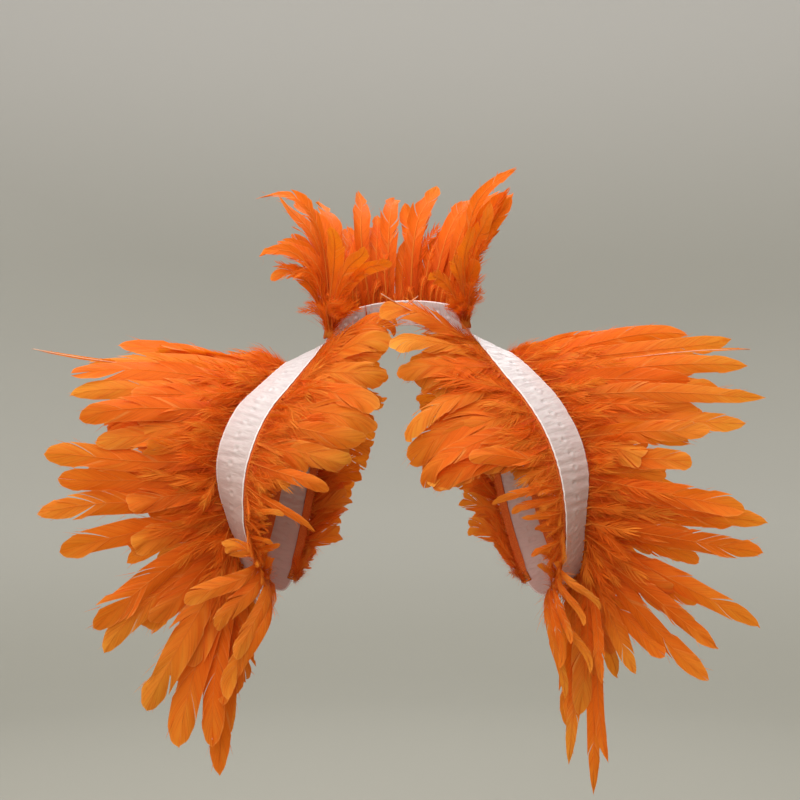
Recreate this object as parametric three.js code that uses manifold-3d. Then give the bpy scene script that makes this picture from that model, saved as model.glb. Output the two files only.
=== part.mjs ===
// A feather shoulder cape: two ribbon arm bands and a ribbon collar, with strips of long feathers
// under their edges. Millimetres, +X to the right as seen from the front, the front faces -Y, +Z up.
// The origin lies between the shoulders, level with the sides of the neck.
import * as THREE from "three";
import Module from "manifold-3d";

const wasm = await Module();
wasm.setup();

// Ribbons
const RIBBON_WIDTH = 38;
const RIBBON_WALL = 1.2;
const BAND_STATIONS = 60;
const COLLAR_WIDTH = 24;
const COLLAR_STATIONS = 28;
const RIBBON_FOLD = 8;
const SEAM_GAP = 0.3;

// Collar plan: half an ellipse round the neck, carried on a little in front of the shoulder line
const COLLAR_BACK = 62;
const COLLAR_PAST_SIDE = THREE.MathUtils.degToRad(20);
const COLLAR_BACK_RISE = 14;
const COLLAR_LEAN = THREE.MathUtils.degToRad(12);

// Backing strips that hold the quills
const STRIP_WIDTH = 6;
const STRIP_WALL = 1.6;
const STRIP_INSET = 3;
const AWAY_FORE = 0.7;
const COLLAR_STRIP_HEIGHT = 7;
const COLLAR_STRIP_PAST = 0.03;

// Feathers
const QUILL_WIDTH = 4.4;
const QUILL_WALL = 1.1;
const VANE_WALL = 1.6;
const QUILL_START = 4.5;
const QUILL_CLEAR = 7.5;
const CUP = 0.14;
const LEAVE_SHARE = 0.8;
const TURNED_BY = 2.2;
const START_REACH = 0.3;
const END_REACH = 0.34;
const END_RISE = 0.2;
const WIDER_BETWEEN = 1;
const FRONT = new THREE.Vector3(0, -1, 0);

// Layers of feathers: their share of the full length, how far their tips stand off the layer's
// middle, the slopes at which they leave it, in degrees, for one row and the next, and their tilt
const UNEVEN = 0.06;
const OVER = { share: 1, lifts: [0, 7], slopes: [4, 9], tilt: 6 };
const UNDER = { share: 0.84, lifts: [-13, -20], slopes: [-11, -16], tilt: 6 };
const COLLAR_INSIDE = { share: 1, lifts: [0, 6], slopes: [5, 11], tilt: 6 };
const COLLAR_OUTSIDE = { share: 0.8, lifts: [14, 20], slopes: [20, 26], tilt: 6 };

// First and last station of the strips under the arm bands' inner edges
const CHEST_STRIP = [1, 27];
const BACK_STRIP = [34, 59];

const ORANGE = { color: 0xf06a12, roughness: 0.75, metalness: 0 };
const SATIN = { color: 0xeee0de, roughness: 0.45, metalness: 0 };

const NUMERICAL_STEP = 1e-3;

/** Rows of numbers as objects, with the column names given once. */
function table(columns, rows) {
  const names = columns.split(" ");
  return rows.map((row) =>
    Object.fromEntries(names.map((name, i) => [name, row[i]])),
  );
}

// Vane outline: the share of the feather's length past the strip, and the share of its full width
const OUTLINE = table("along share", [
  [0.18, 0.64],
  [0.48, 1.0],
  [0.8, 0.76],
]);

// Middle line of each arm band, from the top of the shoulder down the front, under the arm and up
// the back. Out is away from the middle of the body, lean is the ribbon's slope in degrees.
const ARM_PATHS = {
  left: table("out fore up lean", [
    [86, 0, -8, 28],
    [94, -24, -17, 27],
    [110, -49, -36, 27],
    [130, -68, -60, 28],
    [143, -80, -90, 34],
    [148, -82, -120, 46],
    [145, -73, -156, 60],
    [137, -54, -186, 58],
    [130, -28, -208, 40],
    [124, 4, -218, 24],
    [119, 36, -212, 20],
    [113, 62, -190, 22],
    [107, 77, -160, 24],
    [101, 82, -126, 24],
    [96, 78, -92, 24],
    [91, 66, -62, 25],
    [87, 46, -36, 26],
    [84, 23, -17, 27],
  ]),
  right: table("out fore up lean", [
    [81, 0, 2, 28],
    [91, -24, -8, 27],
    [107, -46, -27, 27],
    [127, -64, -52, 30],
    [143, -77, -82, 36],
    [152, -82, -114, 44],
    [154, -80, -146, 56],
    [154, -68, -176, 60],
    [152, -46, -201, 50],
    [148, -18, -217, 34],
    [143, 12, -221, 22],
    [135, 42, -211, 20],
    [127, 65, -188, 22],
    [118, 79, -156, 24],
    [110, 82, -122, 24],
    [103, 77, -88, 24],
    [95, 64, -54, 25],
    [87, 44, -25, 26],
    [82, 22, -6, 27],
  ]),
};

// Feather tips. At is the place of the quill, as a share of the band's length. Wide is the vane's
// width, show is how far its face turns to the front, and sag is how far its end bends down. One
// that is alone has no shorter feather after it.
const OUTER_TIPS = {
  left: table("at out fore up wide show sag alone", [
    [0.0, 261, 12, 2, 24, 0.6, 0.1, true],
    [0.04, 282, -26, -12, 24, 0.6, 0.1],
    [0.065, 332, -50, -4, 9, 0.5, 0, true],
    [0.095, 291, -64, -28, 26, 0.5, 0.1],
    [0.13, 288, -82, -43, 24, 0.4, 0.1],
    [0.17, 278, -94, -68, 26, 0.3, 0.2],
    [0.21, 265, -90, -85, 24, 0.2, 0.2],
    [0.25, 308, -92, -97, 24, 0.2, -0.1],
    [0.285, 295, -98, -120, 24, 0.2, 0.1],
    [0.32, 315, -95, -148, 26, 0.2, 0.1],
    [0.35, 294, -92, -183, 26, 0.2, 0.1],
    [0.38, 267, -90, -248, 28, 0.4, 0.2],
    [0.405, 257, -84, -272, 26, 0.5, 0.2],
    [0.43, 220, -78, -323, 30, 0.7, 0.2],
    [0.455, 194, -66, -355, 28, 0.8, 0.2, true],
    [0.48, 170, -50, -358, 26, 0.9, 0.1, true],
    [0.505, 162, -34, -389, 28, 0.9, 0, true],
    [0.55, 160, 24, -366, 26, 0.9, 0.1, true],
    [0.6, 196, 76, -336, 26, 0.5, 0.2],
    [0.66, 240, 104, -280, 26, 0.3, 0.2],
    [0.72, 270, 118, -212, 26, 0.2, 0.1],
    [0.78, 286, 122, -150, 26, 0.2, 0.1],
    [0.84, 284, 118, -98, 26, 0.3, 0.1],
    [0.9, 272, 98, -52, 26, 0.5, 0.1],
    [0.952, 262, 60, -18, 24, 0.5, 0.1, true],
  ]),
  right: table("at out fore up wide show sag alone", [
    [0.0, 227, 14, 12, 24, 0.6, 0.2, true],
    [0.035, 262, -22, 8, 24, 0.6, 0.2],
    [0.06, 297, -44, 6, 24, 0.5, 0.2],
    [0.085, 314, -60, -8, 10, 0.5, 0.2],
    [0.115, 305, -74, -20, 26, 0.5, 0.2],
    [0.15, 318, -88, -51, 22, 0.4, 0.2],
    [0.185, 302, -84, -69, 24, 0.2, 0.2],
    [0.22, 270, -90, -76, 24, 0.2, 0.1],
    [0.255, 254, -94, -104, 24, 0.2, 0.1],
    [0.29, 301, -98, -146, 26, 0.2, 0.1],
    [0.325, 318, -95, -158, 22, 0.2, 0.1],
    [0.355, 314, -92, -187, 26, 0.2, 0.1],
    [0.385, 312, -88, -250, 24, 0.4, -0.1],
    [0.41, 281, -80, -266, 24, 0.5, -0.1],
    [0.435, 268, -72, -300, 24, 0.7, -0.1],
    [0.458, 180, -62, -304, 16, 0.8, 0.2, true],
    [0.475, 186, -52, -373, 18, 0.9, -0.2, true],
    [0.492, 174, -36, -405, 20, 0.9, -0.1, true],
    [0.515, 154, -22, -382, 22, 0.9, 0, true],
    [0.55, 158, 24, -356, 24, 0.9, 0.1, true],
    [0.6, 208, 76, -318, 26, 0.5, 0.1],
    [0.66, 252, 104, -270, 26, 0.3, 0.1],
    [0.72, 282, 118, -210, 26, 0.2, 0.1],
    [0.78, 294, 122, -150, 26, 0.2, 0.1],
    [0.84, 288, 118, -94, 26, 0.3, 0.1],
    [0.9, 272, 98, -44, 26, 0.5, 0.1],
    [0.952, 252, 60, -6, 24, 0.5, 0.2, true],
  ]),
};

const CHEST_TIPS = {
  left: table("at out fore up wide show sag alone", [
    [0.025, -19, -60, 44, 7, 0.6, 0],
    [0.045, 12, -76, -4, 20, 0.5, 0.2],
    [0.075, 18, -88, -34, 22, 0.5, 0.2],
    [0.105, 22, -97, -62, 22, 0.4, 0.2],
    [0.14, 28, -104, -78, 26, 0.3, 0.3],
    [0.175, 33, -110, -99, 20, 0.3, 0.3],
    [0.21, 44, -114, -113, 22, 0.2, 0.2],
    [0.245, 62, -118, -133, 20, 0.2, 0.2],
    [0.28, 76, -120, -166, 20, 0.3, 0.2],
    [0.315, 98, -118, -148, 18, 0.3, 0.2],
    [0.35, 112, -112, -176, 18, 0.3, 0.1],
    [0.39, 120, -100, -196, 20, 0.5, 0.1],
    [0.43, 121, -80, -214, 20, 0.6, 0],
  ]),
  right: table("at out fore up wide show sag alone", [
    [0.025, -19, -84, 44, 7, 0.6, 0],
    [0.045, -5, -84, -6, 22, 0.5, 0.2],
    [0.075, 4, -92, -28, 20, 0.5, 0.2],
    [0.105, 3, -102, -80, 22, 0.4, 0.3],
    [0.14, 8, -108, -104, 26, 0.3, 0.3],
    [0.175, 12, -113, -122, 18, 0.3, 0.2],
    [0.21, 28, -115, -124, 22, 0.2, 0.2],
    [0.245, 60, -114, -104, 24, 0.2, 0.2],
    [0.28, 80, -120, -141, 20, 0.3, 0.2],
    [0.315, 103, -119, -156, 18, 0.3, 0.2],
    [0.35, 115, -115, -184, 18, 0.3, 0.2],
    [0.39, 131, -103, -190, 18, 0.5, 0.1],
    [0.43, 141, -80, -218, 16, 0.6, 0],
  ]),
};

const BACK_TIPS = {
  left: table("at out fore up wide show sag alone", [
    [0.575, 98, 92, -214, 20, 0.3, 0, true],
    [0.62, 82, 104, -192, 22, 0.3, 0.1],
    [0.67, 64, 110, -166, 22, 0.3, 0.1],
    [0.72, 48, 113, -138, 24, 0.2, 0.2],
    [0.77, 34, 112, -110, 24, 0.2, 0.2],
    [0.82, 24, 107, -82, 24, 0.2, 0.2],
    [0.87, 16, 99, -54, 24, 0.2, 0.2],
    [0.92, 12, 90, -26, 22, 0.3, 0.2],
    [0.965, 16, 82, 0, 20, 0.4, 0.1],
  ]),
  right: table("at out fore up wide show sag alone", [
    [0.575, 116, 94, -216, 20, 0.3, 0, true],
    [0.62, 98, 105, -192, 22, 0.3, 0.1],
    [0.67, 78, 111, -164, 22, 0.3, 0.1],
    [0.72, 58, 113, -136, 24, 0.2, 0.2],
    [0.77, 42, 112, -106, 24, 0.2, 0.2],
    [0.82, 30, 107, -76, 24, 0.2, 0.2],
    [0.87, 20, 99, -46, 24, 0.2, 0.2],
    [0.92, 14, 90, -18, 22, 0.3, 0.2],
    [0.965, 16, 82, 8, 20, 0.4, 0.1],
  ]),
};

// The collar's feathers, from its left end round the back to its right end. Across is along +X.
const COLLAR_TIPS = table("at across fore up wide show sag alone", [
  [-0.015, -3, -66, 76, 16, 0.7, 0.1, true],
  [0.02, -24, -68, 88, 18, 0.6, 0.2, true],
  [0.07, -60, -56, 106, 22, 0.6, 0.2, true],
  [0.13, -124, -24, 78, 20, 0.5, 0.6, true],
  [0.17, -133, -4, 143, 18, 0.5, 0.5, true],
  [0.215, -110, 22, 140, 22, 0.4, 0.3],
  [0.275, -100, 62, 144, 24, 0.2, 0.3],
  [0.34, -76, 92, 150, 24, 0.0, 0.3],
  [0.41, -42, 106, 154, 24, 0.0, 0.3],
  [0.48, -4, 110, 158, 24, 0.0, 0.3],
  [0.55, 36, 106, 158, 24, 0.0, 0.3],
  [0.62, 72, 92, 154, 24, 0.0, 0.3],
  [0.69, 96, 64, 152, 24, 0.1, 0.3],
  [0.755, 102, 30, 150, 22, 0.3, 0.2, true],
  [0.815, 105, -6, 166, 18, 0.4, 0.4, true],
  [0.865, 78, -26, 128, 20, 0.5, 0.1, true],
  [0.91, 66, -40, 104, 20, 0.6, 0.1, true],
  [0.96, 42, -60, 84, 18, 0.6, 0.1, true],
  [1.015, 24, -66, 64, 16, 0.7, 0.1],
]);

const SIDES = { left: -1, right: 1 };

/** A number from -1 to 1 that is always the same for the same feather and use. */
function wobble(index, use) {
  const wave = Math.sin(index * 12.9898 + use * 78.233) * 437.585;
  return (wave - Math.floor(wave)) * 2 - 1;
}

/** The middle line of an arm band as a closed curve. */
function armCurve(side) {
  const points = ARM_PATHS[side].map(
    (row) => new THREE.Vector3(SIDES[side] * row.out, row.fore, row.up),
  );
  return new THREE.CatmullRomCurve3(points, true, "catmullrom", 0.5);
}

/** The ribbon's place at a share of the loop: its middle, and the ways along, outward and off it. */
function armFrame(side, curve, at) {
  const t = curve.getUtoTmapping(((at % 1) + 1) % 1);
  const rows = ARM_PATHS[side];
  const place = t * rows.length;
  const row = Math.floor(place) % rows.length;
  const next = (row + 1) % rows.length;
  const lean = THREE.MathUtils.degToRad(
    THREE.MathUtils.lerp(rows[row].lean, rows[next].lean, place % 1),
  );
  const middle = curve.getPoint(t);
  const along = curve.getTangent(t);
  const outward = new THREE.Vector3(SIDES[side], 0, 0);
  outward.addScaledVector(along, -outward.dot(along)).normalize();
  const inward = new THREE.Vector3().crossVectors(along, outward);
  inward.multiplyScalar(-SIDES[side]);
  const edge = outward
    .clone()
    .multiplyScalar(Math.cos(lean))
    .addScaledVector(inward, Math.sin(lean));
  const face = outward
    .clone()
    .multiplyScalar(Math.sin(lean))
    .addScaledVector(inward, -Math.cos(lean));
  const away = inward.clone().negate();
  away.y += Math.sign(middle.y) * AWAY_FORE;
  return { middle, along, edge, face, away };
}

/** The middle of an arm band's inner edge at the top of the shoulder, where the collar is sewn. */
function collarSeat(side) {
  const { middle, edge, face } = armFrame(side, armCurve(side), 0);
  return middle
    .addScaledVector(edge, -RIBBON_WIDTH / 2)
    .addScaledVector(face, RIBBON_WALL / 2);
}

const SEATS = { left: collarSeat("left"), right: collarSeat("right") };

/** The lower edge of the collar band at a share of its length, on its middle surface. */
function collarPoint(share) {
  const turn =
    Math.PI + COLLAR_PAST_SIDE - share * (Math.PI + 2 * COLLAR_PAST_SIDE);
  const inset = SEAM_GAP + RIBBON_WALL / 2;
  const left = SEATS.left.x + inset;
  const right = SEATS.right.x - inset;
  const middle = (left + right) / 2;
  const half = (right - left) / 2;
  const sideHeight = THREE.MathUtils.lerp(
    SEATS.left.z,
    SEATS.right.z,
    (Math.cos(turn) + 1) / 2,
  );
  const rise = COLLAR_BACK_RISE * Math.sin(turn) * Math.abs(Math.sin(turn));
  return new THREE.Vector3(
    middle + half * Math.cos(turn),
    COLLAR_BACK * Math.sin(turn),
    sideHeight + rise,
  );
}

/** The collar band's place at a share of its length: its edge points up, its face off the neck. */
function collarFrame(share) {
  const low = collarPoint(share);
  const along = collarPoint(share + NUMERICAL_STEP)
    .sub(collarPoint(share - NUMERICAL_STEP))
    .normalize();
  const away = new THREE.Vector3(-along.y, along.x, 0).normalize();
  const up = new THREE.Vector3().crossVectors(along, away).normalize();
  if (up.z < 0) up.negate();
  const edge = up
    .multiplyScalar(Math.cos(COLLAR_LEAN))
    .addScaledVector(away, -Math.sin(COLLAR_LEAN));
  const face = new THREE.Vector3().crossVectors(edge, along).normalize();
  if (face.dot(away) < 0) face.negate();
  const middle = low.clone().addScaledVector(edge, COLLAR_WIDTH / 2);
  return { middle, along, edge, face, away: face };
}

/** A manifold solid from points and triangles, turned right side out. */
function solid(points, triangles) {
  const vertProperties = new Float32Array(points.flatMap((p) => p.toArray()));
  const make = (order) =>
    new wasm.Manifold(
      new wasm.Mesh({
        numProp: 3,
        vertProperties,
        triVerts: new Uint32Array(order.flat()),
      }),
    );
  const made = make(triangles);
  return made.volume() > 0
    ? made
    : make(triangles.map(([a, b, c]) => [a, c, b]));
}

/**
 * A solid through rings of points, which run along one face and back along the other. It closes on
 * itself, or ends flat or in a tip. Both faces are split along the same diagonals, so that they
 * stay apart where the wall twists.
 */
function loft(rings, { closed = false, tip = null } = {}) {
  const sides = rings[0].length;
  const points = rings.flat();
  const triangles = [];
  const quad = (a, b, c, d) => triangles.push([a, b, c], [a, c, d]);
  const spans = closed ? rings.length : rings.length - 1;
  for (let ring = 0; ring < spans; ring++) {
    const here = ring * sides;
    const there = ((ring + 1) % rings.length) * sides;
    for (let side = 0; side < sides; side++) {
      const beside = (side + 1) % sides;
      const corners = [here + side, here + beside, there + beside, there + side];
      if (side >= sides / 2) corners.push(corners.shift());
      quad(...corners);
    }
  }
  if (closed) return solid(points, triangles);
  const last = (rings.length - 1) * sides;
  for (let low = 0; low < sides / 2 - 1; low++) {
    const high = sides - 1 - low;
    quad(high, high - 1, low + 1, low);
    if (!tip) quad(last + low, last + low + 1, last + high - 1, last + high);
  }
  if (tip) {
    points.push(tip);
    for (let side = 0; side < sides; side++) {
      const beside = (side + 1) % sides;
      triangles.push([last + side, last + beside, points.length - 1]);
    }
  }
  return solid(points, triangles);
}

/** The outline of a thin wall's section in a band's frame, with a point at each place across. */
function wallSection(frame, places, above, wall) {
  const corner = (across, n) =>
    frame.middle
      .clone()
      .addScaledVector(frame.edge, across)
      .addScaledVector(frame.face, above + n * (wall / 2));
  const lower = places.map((across) => corner(across, -1));
  const upper = places.map((across) => corner(across, 1)).reverse();
  return [...lower, ...upper];
}

/** A wall along a band, from one share of its length to another, closed where it is a loop. */
function wallAlong(frameAt, { places, above, wall }, { stations, from, to, closed }) {
  const count = closed ? stations : stations + 1;
  const rings = Array.from({ length: count }, (_, i) => {
    const frame = frameAt(from + ((to - from) * i) / stations);
    return wallSection(frame, places, above, wall);
  });
  return loft(rings, { closed });
}

/** The ribbon of a band, with a line near each edge so that it follows the strips below it. */
function ribbon(frameAt, width, stations, closed) {
  const fold = width / 2 - RIBBON_FOLD;
  const section = { places: [-width / 2, -fold, fold, width / 2], above: 0, wall: RIBBON_WALL };
  return wallAlong(frameAt, section, { stations, from: 0, to: 1, closed });
}

/** The backing strip whose middle lies `across` from the middle of a band, and `above` its face. */
function backingStrip(frameAt, across, above, run) {
  const places = [across - STRIP_WIDTH / 2, across + STRIP_WIDTH / 2];
  return wallAlong(frameAt, { places, above, wall: STRIP_WALL }, run);
}

/** The part of a vector square to a unit direction, at length 1. */
function squareTo(direction, vector) {
  return vector.clone().addScaledVector(direction, -vector.dot(direction)).normalize();
}

/** The same vector or its opposite, whichever lies on the side of another. */
function turnedTo(vector, other) {
  return vector.dot(other) < 0 ? vector.negate() : vector;
}

/** One feather: a flat quill that leaves its strip along `leave`, then a cupped vane to its tip. */
function feather({ root, leave, side, goal, away, wide, show, sag, slope, lift, tilt }) {
  const exit = root.clone().addScaledVector(leave, QUILL_CLEAR);
  const chord = goal.clone().sub(exit).normalize();
  const level = new THREE.Vector3().crossVectors(chord, FRONT).normalize();
  const facing = turnedTo(level, side);
  const spread = squareTo(chord, side.clone().lerp(facing, show));
  const rise = turnedTo(new THREE.Vector3().crossVectors(chord, spread), away);
  const tip = goal.clone().addScaledVector(rise, lift);
  const length = tip.distanceTo(exit);
  const start = leave.clone().lerp(chord, LEAVE_SHARE).normalize();
  start.addScaledVector(rise, Math.tan(THREE.MathUtils.degToRad(slope)));
  const end = chord.clone().addScaledVector(rise, END_RISE);
  end.z -= sag;
  end.normalize();
  const spine = new THREE.CubicBezierCurve3(
    exit,
    exit.clone().addScaledVector(start, length * START_REACH),
    tip.clone().addScaledVector(end, -length * END_REACH),
    tip,
  );
  const ring = (place, heading, width, wall, turned, cup) => {
    const twist = THREE.MathUtils.degToRad(tilt) * turned;
    const across = squareTo(heading, side.clone().lerp(spread, turned));
    across.applyAxisAngle(heading, twist);
    const over = new THREE.Vector3().crossVectors(heading, across);
    const drop = over.dot(rise) > 0 ? -cup : cup;
    const at = (w, n) => place.clone().addScaledVector(across, w).addScaledVector(over, n);
    return [at(width / 2, drop), at(0, wall / 2), at(-width / 2, drop), at(0, -wall / 2)];
  };
  const quill = (place) => ring(place, leave, QUILL_WIDTH, QUILL_WALL, 0, 0);
  const vane = OUTLINE.map(({ along, share }) => {
    const width = wide * share;
    const turned = Math.min(1, along * TURNED_BY);
    const heading = spine.getTangent(along);
    return ring(spine.getPoint(along), heading, width, VANE_WALL, turned, width * CUP);
  });
  return loft([quill(root), quill(exit), ...vane], { tip });
}

/** Every feather of one strip: one to each row's tip, and a shorter one under it before the next. */
function feathers(rows, frameAt, toTip, { edgeSign, across, above, over, under }) {
  const place = (at, tip, shape, layer, parity, share = layer.share) => {
    const frame = frameAt(at);
    const root = frame.middle
      .clone()
      .addScaledVector(frame.edge, across)
      .addScaledVector(frame.face, above);
    return feather({
      ...shape,
      root,
      leave: frame.edge.clone().multiplyScalar(edgeSign),
      side: frame.along,
      goal: root.clone().lerp(tip, share),
      away: frame.away,
      slope: layer.slopes[parity],
      lift: layer.lifts[parity],
      tilt: layer.tilt,
    });
  };
  return rows.flatMap((row, i) => {
    const { wide, show, sag } = row;
    const made = [place(row.at, toTip(row), { wide, show, sag }, over, i % 2)];
    const next = rows[i + 1];
    if (!next || row.alone) return made;
    const between = {
      wide: (wide + next.wide) / 2 + WIDER_BETWEEN,
      show: (show + next.show) / 2,
      sag,
    };
    const share = under.share * (1 + UNEVEN * wobble(i, 1));
    const goal = toTip(row).lerp(toTip(next), 0.5);
    made.push(place((row.at + next.at) / 2, goal, between, under, i % 2, share));
    return made;
  });
}

/** A mesh from a manifold solid. */
function mesh(name, made, finish) {
  const { vertProperties, triVerts } = made.getMesh();
  const geometry = new THREE.BufferGeometry()
    .setAttribute("position", new THREE.BufferAttribute(vertProperties, 3))
    .setIndex(new THREE.BufferAttribute(triVerts, 1));
  const flat = geometry.toNonIndexed();
  flat.computeVertexNormals();
  const built = new THREE.Mesh(flat, new THREE.MeshStandardMaterial(finish));
  built.name = name;
  return built;
}

const STRIP_EDGE = RIBBON_WIDTH / 2 - STRIP_INSET;
const STRIP_BELOW = -(RIBBON_WALL / 2 + SEAM_GAP + STRIP_WALL / 2);

/** A backing strip between two stations of an arm band, and the feathers in it, as one solid. */
function featherStrip(frameAt, edgeSign, [first, last], rows, toTip) {
  const backing = backingStrip(frameAt, edgeSign * STRIP_EDGE, STRIP_BELOW, {
    stations: last - first,
    from: first / BAND_STATIONS,
    to: last / BAND_STATIONS,
    closed: last - first === BAND_STATIONS,
  });
  const quills = feathers(rows, frameAt, toTip, {
    edgeSign,
    across: edgeSign * (STRIP_EDGE + STRIP_WIDTH / 2 - QUILL_START),
    above: STRIP_BELOW,
    over: OVER,
    under: UNDER,
  });
  return wasm.Manifold.union([backing, ...quills]);
}

/** One arm band with its outer, chest and back feathers. */
function armSide(side) {
  const curve = armCurve(side);
  const frameAt = (at) => armFrame(side, curve, at);
  const toTip = (row) => new THREE.Vector3(SIDES[side] * row.out, row.fore, row.up);
  const group = new THREE.Group();
  const band = ribbon(frameAt, RIBBON_WIDTH, BAND_STATIONS, true);
  const strips = [
    ["outer", 1, [0, BAND_STATIONS], OUTER_TIPS[side]],
    ["chest", -1, CHEST_STRIP, CHEST_TIPS[side]],
    ["back", -1, BACK_STRIP, BACK_TIPS[side]],
  ];
  group.add(mesh(`arm_band_${side}`, band, SATIN));
  for (const [place, edgeSign, stations, rows] of strips) {
    const made = featherStrip(frameAt, edgeSign, stations, rows, toTip);
    group.add(mesh(`${place}_feathers_${side}`, made, ORANGE));
  }
  return group;
}

/** The collar band and the feathers that stand on its outside. */
function collar() {
  const group = new THREE.Group();
  const low = COLLAR_STRIP_HEIGHT - COLLAR_WIDTH / 2;
  const above = -STRIP_BELOW;
  const band = ribbon(collarFrame, COLLAR_WIDTH, COLLAR_STATIONS, false);
  const backing = backingStrip(collarFrame, low, above, {
    stations: COLLAR_STATIONS,
    from: -COLLAR_STRIP_PAST,
    to: 1 + COLLAR_STRIP_PAST,
    closed: false,
  });
  const toTip = (row) => new THREE.Vector3(row.across, row.fore, row.up);
  const quills = feathers(COLLAR_TIPS, collarFrame, toTip, {
    edgeSign: 1,
    across: low + STRIP_WIDTH / 2 - QUILL_START,
    above,
    over: COLLAR_INSIDE,
    under: COLLAR_OUTSIDE,
  });
  const standing = wasm.Manifold.union([backing, ...quills]);
  group.add(mesh("collar_band", band, SATIN), mesh("collar_feathers", standing, ORANGE));
  return group;
}

const cape = new THREE.Group();
cape.add(armSide("left"), armSide("right"), collar());

export default cape;
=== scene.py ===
"""Dress the feather shoulder cape: satin arm bands, a collar band and the feathers sewn under them.

Metres, +X to the right as seen from the front, the front faces -Y, +Z up. The tables of sizes are in
millimetres.
"""

from __future__ import annotations

import logging
import math
from dataclasses import dataclass, field
from enum import Enum
from typing import Callable, Iterable, Sequence

import bmesh
import bpy
import numpy as np
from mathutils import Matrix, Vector

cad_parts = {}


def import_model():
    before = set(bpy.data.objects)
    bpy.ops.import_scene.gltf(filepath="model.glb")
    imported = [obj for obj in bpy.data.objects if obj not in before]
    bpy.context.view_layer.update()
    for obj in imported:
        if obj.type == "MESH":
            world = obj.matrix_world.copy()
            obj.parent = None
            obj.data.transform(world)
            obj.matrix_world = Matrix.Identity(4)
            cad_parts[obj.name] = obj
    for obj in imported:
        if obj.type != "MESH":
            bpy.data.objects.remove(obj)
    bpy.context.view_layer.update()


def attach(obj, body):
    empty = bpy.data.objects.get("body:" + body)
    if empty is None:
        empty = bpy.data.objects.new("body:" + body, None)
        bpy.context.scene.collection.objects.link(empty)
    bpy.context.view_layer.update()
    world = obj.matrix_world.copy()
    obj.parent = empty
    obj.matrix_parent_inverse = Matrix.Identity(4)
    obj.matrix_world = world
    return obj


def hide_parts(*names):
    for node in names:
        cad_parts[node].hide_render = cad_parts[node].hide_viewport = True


LOG = logging.getLogger("feather_cape")
MM = 0.001
Array = np.ndarray
Colour = tuple[float, float, float]
Place = tuple[float, float, float]

FRONT = np.array((0.0, -1.0, 0.0))
UP = np.array((0.0, 0.0, 1.0))
# A vane under this width, in millimetres, is worn down to its quill.
BARE_WIDTH = 12
# Extruding makes faces in no fixed order, so they are put in order along this slanted way.
SORT_WAY = Vector((1.0, 0.37, 0.11))
# The numbers behind a feather's fixed wobble.
WOBBLE_STEP, WOBBLE_START, WOBBLE_REACH = 12.9898, 78.233, 437.585


class Side(Enum):
    """A side of the cape, as the front view shows it."""

    LEFT = -1
    RIGHT = 1

    @property
    def label(self) -> str:
        """The side's name in small letters."""
        return self.name.lower()


@dataclass(frozen=True)
class Bay:
    """A place on a strip where the shorter feathers stop early, so that a gap opens between tips."""

    at: float
    reach: float
    half: float = 0.016


@dataclass(frozen=True)
class PathRow:
    """One place on an arm band's middle line, in millimetres, and the ribbon's slope in degrees."""

    out: float
    fore: float
    up: float
    lean: float


@dataclass(frozen=True)
class TipRow:
    """One long feather: the place of its quill as a share of the band, and its tip in millimetres.

    Wide is the vane's width, show is how far its face turns to the front, and sag is how far its
    end bends down. One that is alone has no shorter feather after it.
    """

    at: float
    out: float
    fore: float
    up: float
    wide: float
    show: float
    sag: float
    alone: bool = False


def table(kind: type, *rows: Sequence[float]) -> tuple:
    """Rows of numbers as a tuple of one kind of row.

    Args:
        kind: The dataclass of a row.
        rows: The numbers of each row, in the order of its fields.

    Returns:
        The rows.
    """
    return tuple(kind(*row) for row in rows)


# Places on each arm band, from the shoulder's top down the front and up the back: out, fore, up, lean.
ARM_PATHS = {
    Side.LEFT: table(
        PathRow,
        (86, 0, -8, 28),
        (94, -24, -17, 27),
        (110, -49, -36, 27),
        (130, -68, -60, 28),
        (143, -80, -90, 34),
        (148, -82, -120, 46),
        (145, -73, -156, 60),
        (137, -54, -186, 58),
        (130, -28, -208, 40),
        (124, 4, -218, 24),
        (119, 36, -212, 20),
        (113, 62, -190, 22),
        (107, 77, -160, 24),
        (101, 82, -126, 24),
        (96, 78, -92, 24),
        (91, 66, -62, 25),
        (87, 46, -36, 26),
        (84, 23, -17, 27),
    ),
    Side.RIGHT: table(
        PathRow,
        (81, 0, 2, 28),
        (91, -24, -8, 27),
        (107, -46, -27, 27),
        (127, -64, -52, 30),
        (143, -77, -82, 36),
        (152, -82, -114, 44),
        (154, -80, -146, 56),
        (154, -68, -176, 60),
        (152, -46, -201, 50),
        (148, -18, -217, 34),
        (143, 12, -221, 22),
        (135, 42, -211, 20),
        (127, 65, -188, 22),
        (118, 79, -156, 24),
        (110, 82, -122, 24),
        (103, 77, -88, 24),
        (95, 64, -54, 25),
        (87, 44, -25, 26),
        (82, 22, -6, 27),
    ),
}

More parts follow.
